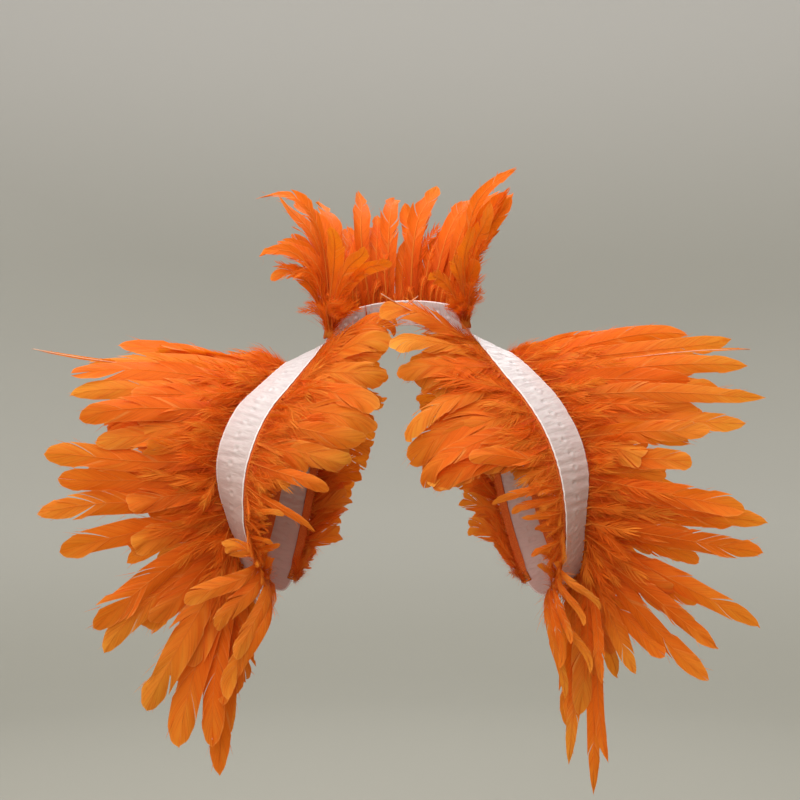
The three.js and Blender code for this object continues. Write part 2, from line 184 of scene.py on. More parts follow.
# The long feathers of each strip, in the same order: at, out, fore, up, wide, show, sag, alone.
OUTER_TIPS = {
    Side.LEFT: table(
        TipRow,
        (0.0, 261, 12, 2, 24, 0.6, 0.1, True),
        (0.04, 282, -26, -12, 24, 0.6, 0.1),
        (0.065, 332, -50, -4, 9, 0.5, 0, True),
        (0.095, 291, -64, -28, 26, 0.5, 0.1),
        (0.13, 288, -82, -43, 24, 0.4, 0.1),
        (0.17, 278, -94, -68, 26, 0.3, 0.2),
        (0.21, 265, -90, -85, 24, 0.2, 0.2),
        (0.25, 308, -92, -97, 24, 0.2, -0.1),
        (0.285, 295, -98, -120, 24, 0.2, 0.1),
        (0.32, 315, -95, -148, 26, 0.2, 0.1),
        (0.35, 294, -92, -183, 26, 0.2, 0.1),
        (0.38, 267, -90, -248, 28, 0.4, 0.2),
        (0.405, 257, -84, -272, 26, 0.5, 0.2),
        (0.43, 220, -78, -323, 30, 0.7, 0.2),
        (0.455, 194, -66, -355, 28, 0.8, 0.2, True),
        (0.48, 170, -50, -358, 26, 0.9, 0.1, True),
        (0.505, 162, -34, -389, 28, 0.9, 0, True),
        (0.55, 160, 24, -366, 26, 0.9, 0.1, True),
        (0.6, 196, 76, -336, 26, 0.5, 0.2),
        (0.66, 240, 104, -280, 26, 0.3, 0.2),
        (0.72, 270, 118, -212, 26, 0.2, 0.1),
        (0.78, 286, 122, -150, 26, 0.2, 0.1),
        (0.84, 284, 118, -98, 26, 0.3, 0.1),
        (0.9, 272, 98, -52, 26, 0.5, 0.1),
        (0.952, 262, 60, -18, 24, 0.5, 0.1, True),
    ),
    Side.RIGHT: table(
        TipRow,
        (0.0, 227, 14, 12, 24, 0.6, 0.2, True),
        (0.035, 262, -22, 8, 24, 0.6, 0.2),
        (0.06, 297, -44, 6, 24, 0.5, 0.2),
        (0.085, 314, -60, -8, 10, 0.5, 0.2),
        (0.115, 305, -74, -20, 26, 0.5, 0.2),
        (0.15, 318, -88, -51, 22, 0.4, 0.2),
        (0.185, 302, -84, -69, 24, 0.2, 0.2),
        (0.22, 270, -90, -76, 24, 0.2, 0.1),
        (0.255, 254, -94, -104, 24, 0.2, 0.1),
        (0.29, 301, -98, -146, 26, 0.2, 0.1),
        (0.325, 318, -95, -158, 22, 0.2, 0.1),
        (0.355, 314, -92, -187, 26, 0.2, 0.1),
        (0.385, 312, -88, -250, 24, 0.4, -0.1),
        (0.41, 281, -80, -266, 24, 0.5, -0.1),
        (0.435, 268, -72, -300, 24, 0.7, -0.1),
        (0.458, 180, -62, -304, 13, 0.8, 0.2, True),
        (0.475, 186, -52, -373, 14, 0.9, -0.2, True),
        (0.492, 174, -36, -405, 16, 0.9, -0.1, True),
        (0.515, 154, -22, -382, 17, 0.9, 0, True),
        (0.55, 158, 24, -356, 24, 0.9, 0.1, True),
        (0.6, 208, 76, -318, 26, 0.5, 0.1),
        (0.66, 252, 104, -270, 26, 0.3, 0.1),
        (0.72, 282, 118, -210, 26, 0.2, 0.1),
        (0.78, 294, 122, -150, 26, 0.2, 0.1),
        (0.84, 288, 118, -94, 26, 0.3, 0.1),
        (0.9, 272, 98, -44, 26, 0.5, 0.1),
        (0.952, 252, 60, -6, 24, 0.5, 0.2, True),
    ),
}

CHEST_TIPS = {
    Side.LEFT: table(
        TipRow,
        (0.025, -19, -60, 44, 7, 0.6, 0, True),
        (0.045, 12, -76, -4, 20, 0.5, 0.2),
        (0.075, 18, -88, -34, 22, 0.5, 0.2),
        (0.105, 22, -97, -62, 22, 0.4, 0.2),
        (0.14, 28, -104, -78, 26, 0.3, 0.3),
        (0.175, 33, -110, -99, 20, 0.3, 0.3),
        (0.21, 44, -114, -113, 22, 0.2, 0.2),
        (0.245, 62, -118, -133, 20, 0.2, 0.2),
        (0.28, 76, -120, -166, 20, 0.3, 0.2),
        (0.315, 98, -118, -148, 18, 0.3, 0.2),
        (0.35, 112, -112, -176, 18, 0.3, 0.1),
        (0.39, 120, -100, -196, 20, 0.5, 0.1),
        (0.43, 121, -80, -214, 20, 0.6, 0),
    ),
    Side.RIGHT: table(
        TipRow,
        (0.025, -19, -84, 44, 7, 0.6, 0, True),
        (0.045, -5, -84, -6, 22, 0.5, 0.2),
        (0.075, 4, -92, -28, 20, 0.5, 0.2),
        (0.105, 3, -102, -80, 22, 0.4, 0.3),
        (0.14, 8, -108, -104, 26, 0.3, 0.3),
        (0.175, 12, -113, -122, 18, 0.3, 0.2),
        (0.21, 28, -115, -124, 22, 0.2, 0.2),
        (0.245, 60, -114, -104, 24, 0.2, 0.2),
        (0.28, 80, -120, -141, 20, 0.3, 0.2),
        (0.315, 103, -119, -156, 18, 0.3, 0.2),
        (0.35, 115, -115, -184, 18, 0.3, 0.2),
        (0.39, 131, -103, -190, 18, 0.5, 0.1),
        (0.43, 141, -80, -218, 16, 0.6, 0),
    ),
}

# Feathers of the chest strip that turn back and hang in front of the ribbon's lower end.
CROSSING_TIPS = {
    Side.LEFT: table(
        TipRow,
        (0.372, 149, -104, -178, 18, 0.8, 0.1),
        (0.395, 184, -102, -227, 20, 0.8, 0.1),
        (0.41, 158, -98, -248, 20, 0.8, 0.1),
        (0.425, 140, -92, -276, 18, 0.8, 0.1),
        (0.438, 150, -84, -312, 20, 0.8, 0.1),
        (0.446, 128, -84, -262, 16, 0.8, 0.1),
    ),
    Side.RIGHT: table(
        TipRow,
        (0.39, 172, -102, -232, 9, 0.8, 0.1),
        (0.405, 158, -98, -246, 8, 0.8, 0.1),
        (0.42, 148, -94, -262, 9, 0.8, 0.1),
        (0.432, 138, -88, -284, 10, 0.8, 0.1),
        (0.44, 165, -84, -290, 9, 0.8, 0.1),
        (0.446, 144, -80, -312, 10, 0.8, 0.1),
    ),
}

# Places where gaps open between the tips: at, reach.
OUTER_BAYS = {
    Side.LEFT: table(Bay, (0.23, 0.5), (0.302, 0.52), (0.335, 0.42), (0.365, 0.6), (0.418, 0.7)),
    Side.RIGHT: table(Bay, (0.167, 0.72), (0.237, 0.5), (0.272, 0.66), (0.37, 0.62), (0.397, 0.7)),
}
CHEST_BAYS = {
    Side.LEFT: table(Bay, (0.09, 0.6), (0.228, 0.6), (0.262, 0.5), (0.298, 0.5), (0.332, 0.4)),
    Side.RIGHT: table(Bay, (0.06, 0.6), (0.09, 0.6), (0.228, 0.7), (0.262, 0.6), (0.332, 0.5)),
}

BACK_TIPS = {
    Side.LEFT: table(
        TipRow,
        (0.575, 98, 92, -214, 20, 0.3, 0, True),
        (0.62, 82, 104, -192, 22, 0.3, 0.1),
        (0.67, 64, 110, -166, 22, 0.3, 0.1),
        (0.72, 48, 113, -138, 24, 0.2, 0.2),
        (0.77, 34, 112, -110, 24, 0.2, 0.2),
        (0.82, 24, 107, -82, 24, 0.2, 0.2),
        (0.87, 16, 99, -54, 24, 0.2, 0.2),
        (0.92, 12, 90, -26, 22, 0.3, 0.2),
        (0.965, 16, 82, 0, 20, 0.4, 0.1),
    ),
    Side.RIGHT: table(
        TipRow,
        (0.575, 116, 94, -216, 20, 0.3, 0, True),
        (0.62, 98, 105, -192, 22, 0.3, 0.1),
        (0.67, 78, 111, -164, 22, 0.3, 0.1),
        (0.72, 58, 113, -136, 24, 0.2, 0.2),
        (0.77, 42, 112, -106, 24, 0.2, 0.2),
        (0.82, 30, 107, -76, 24, 0.2, 0.2),
        (0.87, 20, 99, -46, 24, 0.2, 0.2),
        (0.92, 14, 90, -18, 22, 0.3, 0.2),
        (0.965, 16, 82, 8, 20, 0.4, 0.1),
    ),
}

# The collar's feathers, from its left end round the back to its right end. Out is along +X here.
COLLAR_TIPS = table(
    TipRow,
    (-0.015, -3, -66, 76, 16, 0.7, 0.1, True),
    (0.02, -24, -68, 88, 18, 0.6, 0.2, True),
    (0.07, -60, -56, 106, 22, 0.6, 0.2, True),
    (0.13, -124, -24, 78, 20, 0.5, 1.3, True),
    (0.17, -133, -4, 143, 18, 0.5, 0.8, True),
    (0.215, -110, 22, 140, 22, 0.4, 0.3),
    (0.275, -100, 62, 144, 24, 0.2, 0.3),
    (0.34, -76, 92, 150, 24, 0.0, 0.3),
    (0.41, -42, 106, 154, 24, 0.0, 0.3),
    (0.48, -4, 110, 158, 24, 0.0, 0.3),
    (0.55, 36, 106, 158, 24, 0.0, 0.3),
    (0.62, 72, 92, 154, 24, 0.0, 0.3),
    (0.69, 96, 64, 152, 24, 0.1, 0.3),
    (0.755, 102, 30, 150, 22, 0.3, 0.2, True),
    (0.815, 105, -6, 166, 18, 0.4, 0.4, True),
    (0.865, 78, -26, 128, 20, 0.5, 0.1, True),
    (0.91, 66, -40, 104, 20, 0.6, 0.1, True),
    (0.96, 42, -60, 84, 18, 0.6, 0.1, True),
    (1.015, 24, -66, 64, 16, 0.7, 0.1),
)


def unit(vectors: Array) -> Array:
    """The vectors at length 1.

    Args:
        vectors: One vector, or one in each row.

    Returns:
        The same directions, at length 1.
    """
    return vectors / np.linalg.norm(vectors, axis=-1, keepdims=True)


def square_to(direction: Array, vector: Array) -> Array:
    """The part of a vector square to a unit direction, at length 1.

    Args:
        direction: Unit directions.
        vector: The vectors to square.

    Returns:
        Unit vectors square to the directions.
    """
    along = np.sum(direction * vector, axis=-1, keepdims=True)
    return unit(vector - direction * along)


def turned_to(vector: Array, other: Array) -> Array:
    """The vector or its opposite, whichever lies on the side of another.

    Args:
        vector: The vector to turn.
        other: The vector whose side counts.

    Returns:
        The vector, or its opposite.
    """
    return -vector if float(np.dot(vector, other)) < 0 else vector


def rotated(vectors: Array, axes: Array, angles: Array) -> Array:
    """Each vector turned about its own axis.

    Args:
        vectors: A vector in each row.
        axes: A unit axis in each row.
        angles: An angle for each row, in radians.

    Returns:
        The turned vectors.
    """
    cos = np.cos(angles)[:, None]
    sin = np.sin(angles)[:, None]
    along = np.sum(axes * vectors, axis=1, keepdims=True)
    return vectors * cos + np.cross(axes, vectors) * sin + axes * along * (1 - cos)


def mixed(low: Array | float, high: Array | float, share: Array | float) -> Array:
    """A value between two others, at a share of the way."""
    return low + (high - low) * share


def eased(share: Array) -> Array:
    """A share from 0 to 1 with a soft start and end."""
    held = np.clip(share, 0.0, 1.0)
    return held * held * (3 - 2 * held)


def wobble(index: int) -> float:
    """A number from -1 to 1 that is always the same for the same feather."""
    wave = math.sin(index * WOBBLE_STEP + WOBBLE_START) * WOBBLE_REACH
    return (wave - math.floor(wave)) * 2 - 1


@dataclass(frozen=True)
class BandFrame:
    """Places on a band: the middle, and the ways along it, to its edge, off its face and away."""

    middle: Array
    along: Array
    edge: Array
    face: Array
    away: Array

    def point(self, across: float, above: float) -> Array:
        """The points at a distance across the band and above its middle surface."""
        return self.middle + self.edge * across + self.face * above


@dataclass
class ArmBand:
    """The loop that an arm band follows, over the shoulder and under the arm."""

    side: Side
    divisions: int = 200
    tension: float = 0.5
    away_fore: float = 0.7
    tangent_step: float = 1e-4
    rows: tuple[PathRow, ...] = field(init=False)
    points: Array = field(init=False)
    shares: Array = field(init=False)
    length: float = field(init=False)

    def __post_init__(self) -> None:
        """Measure the loop, so that places can be given as shares of its length."""
        self.rows = ARM_PATHS[self.side]
        self.points = np.array([(self.side.value * r.out, r.fore, r.up) for r in self.rows]) * MM
        walk = self.curve(np.linspace(0, 1, self.divisions + 1))
        steps = np.linalg.norm(np.diff(walk, axis=0), axis=1)
        self.length = float(steps.sum())
        self.shares = np.concatenate(([0.0], np.cumsum(steps))) / self.length

    def curve(self, t: Array) -> Array:
        """Points of the closed curve through the rows.

        Args:
            t: Shares of the number of rows.

        Returns:
            A point for each share.
        """
        count = len(self.rows)
        place = t * count
        row = np.floor(place).astype(int)
        step = (place - row)[:, None]
        p0, p1, p2, p3 = (self.points[(row + n) % count] for n in (-1, 0, 1, 2))
        start = self.tension * (p2 - p0)
        end = self.tension * (p3 - p1)
        square = -3 * p1 + 3 * p2 - 2 * start - end
        cube = 2 * p1 - 2 * p2 + start + end
        return p1 + start * step + square * step**2 + cube * step**3

    def frame(self, at: Array) -> BandFrame:
        """The band's frames at shares of its length.

        Args:
            at: Shares of the loop's length, which may run past its start and end.

        Returns:
            A frame for each share.
        """
        count = len(self.rows)
        t = np.interp(np.mod(at, 1.0), self.shares, np.linspace(0, 1, self.divisions + 1))
        t = np.where(t >= 1, 0.0, t)
        leans = np.array([row.lean for row in self.rows])
        row = np.floor(t * count).astype(int) % count
        lean = np.radians(mixed(leans[row], leans[(row + 1) % count], (t * count) % 1))[:, None]
        middle = self.curve(t)
        ahead = self.curve(np.mod(t + self.tangent_step, 1.0))
        behind = self.curve(np.mod(t - self.tangent_step, 1.0))
        along = unit(ahead - behind)
        outward = square_to(along, np.array((float(self.side.value), 0.0, 0.0)))
        inward = np.cross(along, outward) * -self.side.value
        edge = outward * np.cos(lean) + inward * np.sin(lean)
        face = outward * np.sin(lean) - inward * np.cos(lean)
        away = -inward
        away[:, 1] += np.sign(middle[:, 1]) * self.away_fore
        return BandFrame(middle, along, edge, face, away)


@dataclass
class CollarPath:
    """The open band round the back and sides of the neck, sewn to the arm bands at its ends."""

    left: ArmBand
    right: ArmBand
    ribbon: "RibbonSizes"
    arm_ribbon: "RibbonSizes"
    back: float = 62 * MM
    past_side: float = math.radians(20)
    back_rise: float = 14 * MM
    lean: float = math.radians(12)
    seam_gap: float = 0.3 * MM
    step: float = 1e-3
    divisions: int = 99

    def seat(self, band: ArmBand) -> Array:
        """The middle of an arm band's inner edge at the top of the shoulder."""
        frame = band.frame(np.array([0.0]))
        return frame.point(-self.arm_ribbon.width / 2, self.arm_ribbon.wall / 2)[0]

    def low_edge(self, share: Array) -> Array:
        """Points of the collar band's lower edge.

        Args:
            share: Shares of its length, from its left end round the back.

        Returns:
            A point for each share.
        """
        left, right = self.seat(self.left), self.seat(self.right)
        turn = math.pi + self.past_side - share * (math.pi + 2 * self.past_side)
        inset = self.seam_gap + self.ribbon.wall / 2
        low, high = left[0] + inset, right[0] - inset
        side_height = mixed(left[2], right[2], (np.cos(turn) + 1) / 2)
        rise = self.back_rise * np.sin(turn) * np.abs(np.sin(turn))
        across = (low + high) / 2 + (high - low) / 2 * np.cos(turn)
        return np.stack((across, self.back * np.sin(turn), side_height + rise), axis=1)

    def frame(self, at: Array) -> BandFrame:
        """The band's frames: the edge points up and the face away from the neck.

        Args:
            at: Shares of its length.

        Returns:
            A frame for each share.
        """
        along = unit(self.low_edge(at + self.step) - self.low_edge(at - self.step))
        away = unit(np.stack((-along[:, 1], along[:, 0], np.zeros(len(along))), axis=1))
        upward = unit(np.cross(along, away))
        upward = np.where(upward[:, 2:] < 0, -upward, upward)
        edge = upward * math.cos(self.lean) - away * math.sin(self.lean)
        face = unit(np.cross(edge, along))
        face = np.where(np.sum(face * away, axis=1, keepdims=True) < 0, -face, face)
        middle = self.low_edge(at) + edge * (self.ribbon.width / 2)
        return BandFrame(middle, along, edge, face, face)

    @property
    def length(self) -> float:
        """The length of the band's lower edge."""
        walk = self.low_edge(np.linspace(0, 1, self.divisions + 1))
        return float(np.linalg.norm(np.diff(walk, axis=0), axis=1).sum())


@dataclass(frozen=True)
class RibbonSizes:
    """A ribbon's width and wall."""

    width: float
    wall: float = 1.2 * MM


ARM_RIBBON = RibbonSizes(width=38 * MM)
COLLAR_RIBBON = RibbonSizes(width=24 * MM)


@dataclass(frozen=True)
class StripSizes:
    """A backing strip that holds quills, and where it lies under its ribbon.

    The lip is how much wider it is on the side of the feathers, and an open strip narrows at its
    ends, over a share of the band.
    """

    width: float = 6 * MM
    wall: float = 1.6 * MM
    inset: float = 3 * MM
    collar_height: float = 7 * MM
    collar_past: float = -0.025
    quill_start: float = 4.5 * MM
    lip: float = 1.5 * MM
    narrowed: float = 0.04
    narrow_end: float = 0.2
    seam_gap: float = 0.3 * MM

    @property
    def edge(self) -> float:
        """How far the strip's middle lies from an arm ribbon's middle."""
        return ARM_RIBBON.width / 2 - self.inset

    @property
    def below(self) -> float:
        """How far the strip's middle lies under the ribbon's middle surface."""
        return ARM_RIBBON.wall / 2 + self.seam_gap + self.wall / 2


@dataclass(frozen=True)
class Layer:
    """One layer of feathers: the share of the full length, and how the feathers stand off the strip.

    Lifts are in millimetres and slopes in degrees, for one row and the next.
    """

    share: float
    lifts: tuple[float, float]
    slopes: tuple[float, float]
    tilt: float = 6.0


OVER = Layer(1.0, (0, 7), (4, 9))
UNDER = Layer(0.84, (-13, -20), (-11, -16))
COLLAR_INSIDE = Layer(1.0, (0, 6), (5, 11))
COLLAR_OUTSIDE = Layer(0.8, (14, 20), (20, 26))


@dataclass(frozen=True)
class Habit:
    """How unevenly a strip's long feathers lie.

    Curls and the roll are in degrees, the bow is a share of the length, and the pull is how far a
    feather of the under layer leans to one of its neighbours. Points tell how pointed the ends are.
    The feathers grow slimmer between two places of the strip. Hook is how steeply their ends turn
    down, tones are how light they are, and leaning is how far they lean to their tips from the start.
    """

    curls: tuple[float, float] = (-6.0, 24.0)
    under_curls: tuple[float, float] = (0.0, 40.0)
    curl_from: float = 0.5
    roll: float = 13.0
    bow: float = 0.04
    pull: tuple[float, float] = (0.08, 0.38)
    shorten: tuple[float, float] = (0.86, 1.04)
    points: tuple[float, float] = (0.2, 0.8)
    slim_at: tuple[float, float] = (0.9, 1.0)
    breadth: float = 1.0
    slimness: float = 1.0
    hook: tuple[float, float] = (-0.25, 0.35)
    tones: tuple[float, float] = (0.2, 0.8)
    leaning: float = 0.8

    def slim(self, at: float) -> float:
        """The share of its width that a feather keeps at a place on the strip."""
        return float(np.interp(at, self.slim_at, (self.breadth, self.slimness)))


@dataclass(frozen=True)
class Filling:
    """Shorter feathers that fill a strip: how many, how long, how wide and how they stand.

    Shares are of the full length there, and so is the bow. Widths are in millimetres, as is the
    rise for each degree of slope, and slopes, curls, tilts and the roll are in degrees. The span is
    the stretch of the strip that they fill, and the stray how far they aim past their own place.
    """

    count: int
    shares: tuple[float, float]
    widths: tuple[float, float]
    slopes: tuple[float, float]
    loose: bool = True
    stray: float = 0.03
    curls: tuple[float, float] = (-10.0, 40.0)
    span: tuple[float, float] = (0.0, 1.0)
    tilts: tuple[float, float] = (-12.0, 16.0)
    bow: float = 0.06
    roll: float = 16.0
    rise: float = 0.5


OUTER_HABITS = {
    Side.LEFT: Habit(points=(0.0, 0.6), bow=0.05, slim_at=(0.44, 0.5), breadth=1.18),
    Side.RIGHT: Habit(points=(0.3, 1.0), bow=0.05, slim_at=(0.4, 0.46), breadth=1.1),
}
CHEST_HABIT = Habit(
    curls=(20.0, 90.0),
    under_curls=(40.0, 150.0),
    curl_from=0.6,
    roll=18.0,
    bow=0.03,
    points=(0.0, 0.4),
    slim_at=(0.2, 0.29),
    breadth=1.3,
    slimness=0.42,
    hook=(0.1, 0.9),
    tones=(0.3, 0.95),
)
BACK_HABIT = Habit(curls=(0.0, 50.0), under_curls=(10.0, 90.0), roll=16.0, points=(0.1, 0.7))
COLLAR_HABIT = Habit(
    curls=(-30.0, 10.0),
    under_curls=(-50.0, 20.0),
    roll=16.0,
    points=(0.5, 1.0),
    hook=(-0.2, 0.2),
    # These low tones are painted shade: the shade that the wearer's head throws on the collar.
    tones=(0.0, 0.35),
    leaning=0.2,
)
OUTER_FILLING = (
    Filling(22, (0.62, 0.84), (24, 30), (-8, 8), loose=False, curls=(-10.0, 60.0)),
    Filling(36, (0.34, 0.62), (20, 28), (-10, 12)),
    Filling(170, (0.14, 0.34), (14, 24), (-26, 26), stray=0.05),
)
CHEST_FILLING = (
    Filling(14, (0.6, 0.95), (24, 32), (-4, 12), loose=False, curls=(30.0, 140.0), span=(0.0, 0.5)),
    Filling(16, (0.45, 0.85), (22, 30), (-8, 14), curls=(0.0, 90.0), span=(0.0, 0.6)),
    Filling(110, (0.18, 0.42), (14, 22), (-20, 22), stray=0.04),
)
BACK_FILLING = (
    Filling(20, (0.5, 0.95), (16, 24), (-6, 12), loose=False, curls=(0.0, 60.0)),
    Filling(110, (0.2, 0.5), (14, 22), (-20, 22), stray=0.04),
)
COLLAR_FILLING = (
    Filling(18, (0.6, 0.92), (16, 22), (0, 22), loose=False, curls=(-30.0, 20.0), span=(0.1, 0.9)),
    Filling(24, (0.4, 0.8), (16, 24), (0, 26), curls=(-30.0, 20.0)),
    Filling(80, (0.14, 0.36), (12, 18), (-16, 40), stray=0.05),
    Filling(16, (0.2, 0.45), (14, 20), (-20, 50), stray=0.02, span=(0.0, 0.05)),
    Filling(16, (0.2, 0.45), (14, 20), (-20, 50), stray=0.02, span=(0.95, 1.0)),
)


class Barb(Enum):
    """What a point of a feather belongs to, as the colour attribute tells it."""

    VANE = 0.0
    DOWN = 0.25
    SHAFT = 0.6
    QUILL = 1.0


@dataclass
class Feather:
    """One feather: where its quill leaves the strip, where its tip goes, and its vane's form.

    The slope, tilt, roll and curl are in degrees. The bow, sag and hook are shares of its length.
    """

    root: Array
    leave: Array
    side: Array
    goal: Array
    away: Array
    wide: float
    show: float
    sag: float
    slope: float
    lift: float
    tilt: float
    roll: float = 0.0
    bow: float = 0.0
    curl: float = 0.0
    curl_from: float = 0.55
    hook: float = 0.0
    leaning: float = 0.8
    tone: float = 0.5
    point: float = 0.5
    loose: bool = False
    bare: bool = False


@dataclass(frozen=True)
class Stations:
    """Places along a shaft, from inside the strip to the tip, and the ways round it."""

    share: Array
    middle: Array
    heading: Array
    across: Array
    over: Array
    length: float

    def sample(self, share: Array) -> tuple[Array, Array, Array]:
        """The middle, the way across and the way over at shares of the shaft's length.

        Args:
            share: Shares of the length. Past the tip the shaft runs on straight.

        Returns:
            The middle, across and over at each share.
        """
        held = np.clip(share, self.share[0], self.share[-1])
        found = []
        for rows in (self.middle, self.across, self.over):
            found.append(np.stack([np.interp(held, self.share, rows[:, n]) for n in range(3)], axis=1))
        past = (share - held)[:, None] * self.length
        found[0] = found[0] + self.heading[-1] * past
        return found[0], found[1], found[2]


@dataclass(frozen=True)
class ShaftMaker:
    """Works out the curve of a feather's shaft.

    The first stretch leaves the strip square to its edge. Reaches are shares of the length, from
    each end to the curve's control points.
    """

    clear: float = 7.5 * MM
    most_leaning: float = 0.8
    turned_by: float = 2.2
    start_reach: float = 0.3
    upright_reach: float = 0.9
    end_reach: float = 0.34
    end_rise: float = 0.2
    curl_power: float = 1.5
    count: int = 26

    def stations(self, feather: Feather) -> Stations:
        """The stations of one feather's shaft.

        Args:
            feather: The feather.

        Returns:
            Its stations.
        """
        leave_point = feather.root + feather.leave * self.clear
        chord = unit(feather.goal - leave_point)
        facing = turned_to(unit(np.cross(chord, FRONT)), feather.side)
        spread = square_to(chord, mixed(feather.side, facing, feather.show))
        rise = turned_to(np.cross(chord, spread), feather.away)
        tip = feather.goal + rise * feather.lift
        length = float(np.linalg.norm(tip - leave_point))
        start = unit(mixed(feather.leave, chord, feather.leaning))
        start = start + rise * math.tan(math.radians(feather.slope))
        end = unit(chord + rise * self.end_rise - UP * feather.sag)
        reach = self.start_reach + self.upright_reach * (self.most_leaning - feather.leaning)
        control = (
            leave_point,
            leave_point + start * length * reach,
            tip - end * length * self.end_reach,
            tip,
        )
        share = np.linspace(0, 1, self.count)
        middle, heading = self.bezier(control, share)
        turned = np.minimum(1, share * self.turned_by)
        lerped = mixed(feather.side, spread, turned[:, None])
        across = square_to(heading, lerped)
        twist = math.radians(feather.tilt) * turned + math.radians(feather.roll) * share**2
        across = rotated(across, heading, twist)
        over = np.cross(heading, across)
        if float(np.dot(over[self.count // 2], rise)) < 0:
            over = -over
        middle = middle + across * (feather.bow * length * share * (share - 1))[:, None]
        upward = across * np.sign(across[:, 2:])
        middle = middle + upward * (feather.hook * length * share**4 * (1 - share))[:, None]
        across = square_to(self.headings(middle), across)
        middle, heading, over = self.curled(feather, share, middle, across, over)
        first = -self.clear / length
        return Stations(
            share=np.concatenate(([first, first / 2], share)),
            middle=np.vstack((feather.root, mixed(feather.root, leave_point, 0.5), middle)),
            heading=np.vstack((feather.leave, feather.leave, heading)),
            across=np.vstack((across[0], across[0], across)),
            over=np.vstack((over[0], over[0], over)),
            length=length,
        )

    def bezier(self, control: Sequence[Array], share: Array) -> tuple[Array, Array]:
        """Points and headings of a cubic curve.

        Args:
            control: Its four points.
            share: Shares of its parameter.

        Returns:
            A point and a unit heading for each share.
        """
        t = share[:, None]
        a, b, c, d = control
        points = a * (1 - t) ** 3 + 3 * b * t * (1 - t) ** 2 + 3 * c * t**2 * (1 - t) + d * t**3
        slope = (b - a) * (1 - t) ** 2 + 2 * (c - b) * t * (1 - t) + (d - c) * t**2
        return points, unit(slope)

    def headings(self, middle: Array) -> Array:
        """The unit ways along a line of points."""
        gaps = np.diff(middle, axis=0)
        return unit(np.vstack((gaps[:1], (gaps[:-1] + gaps[1:]) / 2, gaps[-1:])))

    def curled(
        self, feather: Feather, share: Array, middle: Array, across: Array, over: Array
    ) -> tuple[Array, Array, Array]:
        """The shaft with its end curled over, towards the side that the vane hides.

        Args:
            feather: The feather, whose curl is in degrees.
            share: Shares of the length.
            middle: The shaft's points.
            across: The ways across the vane.
            over: The ways off its face.

        Returns:
            The curled points, headings and ways over.
        """
        steps = np.linalg.norm(np.diff(middle, axis=0), axis=1, keepdims=True)
        heading = self.headings(middle)
        if feather.curl:
            curled = (share - feather.curl_from) / (1 - feather.curl_from)
            bend = np.clip(curled, 0, 1) ** self.curl_power
            hand = float(np.sign(np.dot(np.cross(heading[0], across[0]), over[0])))
            angles = math.radians(feather.curl) * bend
            heading = rotated(heading, across, angles * hand)
            over = rotated(over, across, angles * hand)
            halves = unit((heading[:-1] + heading[1:]) / 2)
            middle = np.vstack((middle[:1], middle[0] + np.cumsum(halves * steps, axis=0)))
        return middle, heading, over


# A narrow barb's points: their places across it, in widths, and along it, in lengths.
BARB_HALVES = (-0.5, 0.5, -0.46, 0.46, -0.3, 0.3, 0.0)
BARB_REACHES = (0.0, 0.0, 0.35, 0.35, 0.7, 0.7, 1.0)


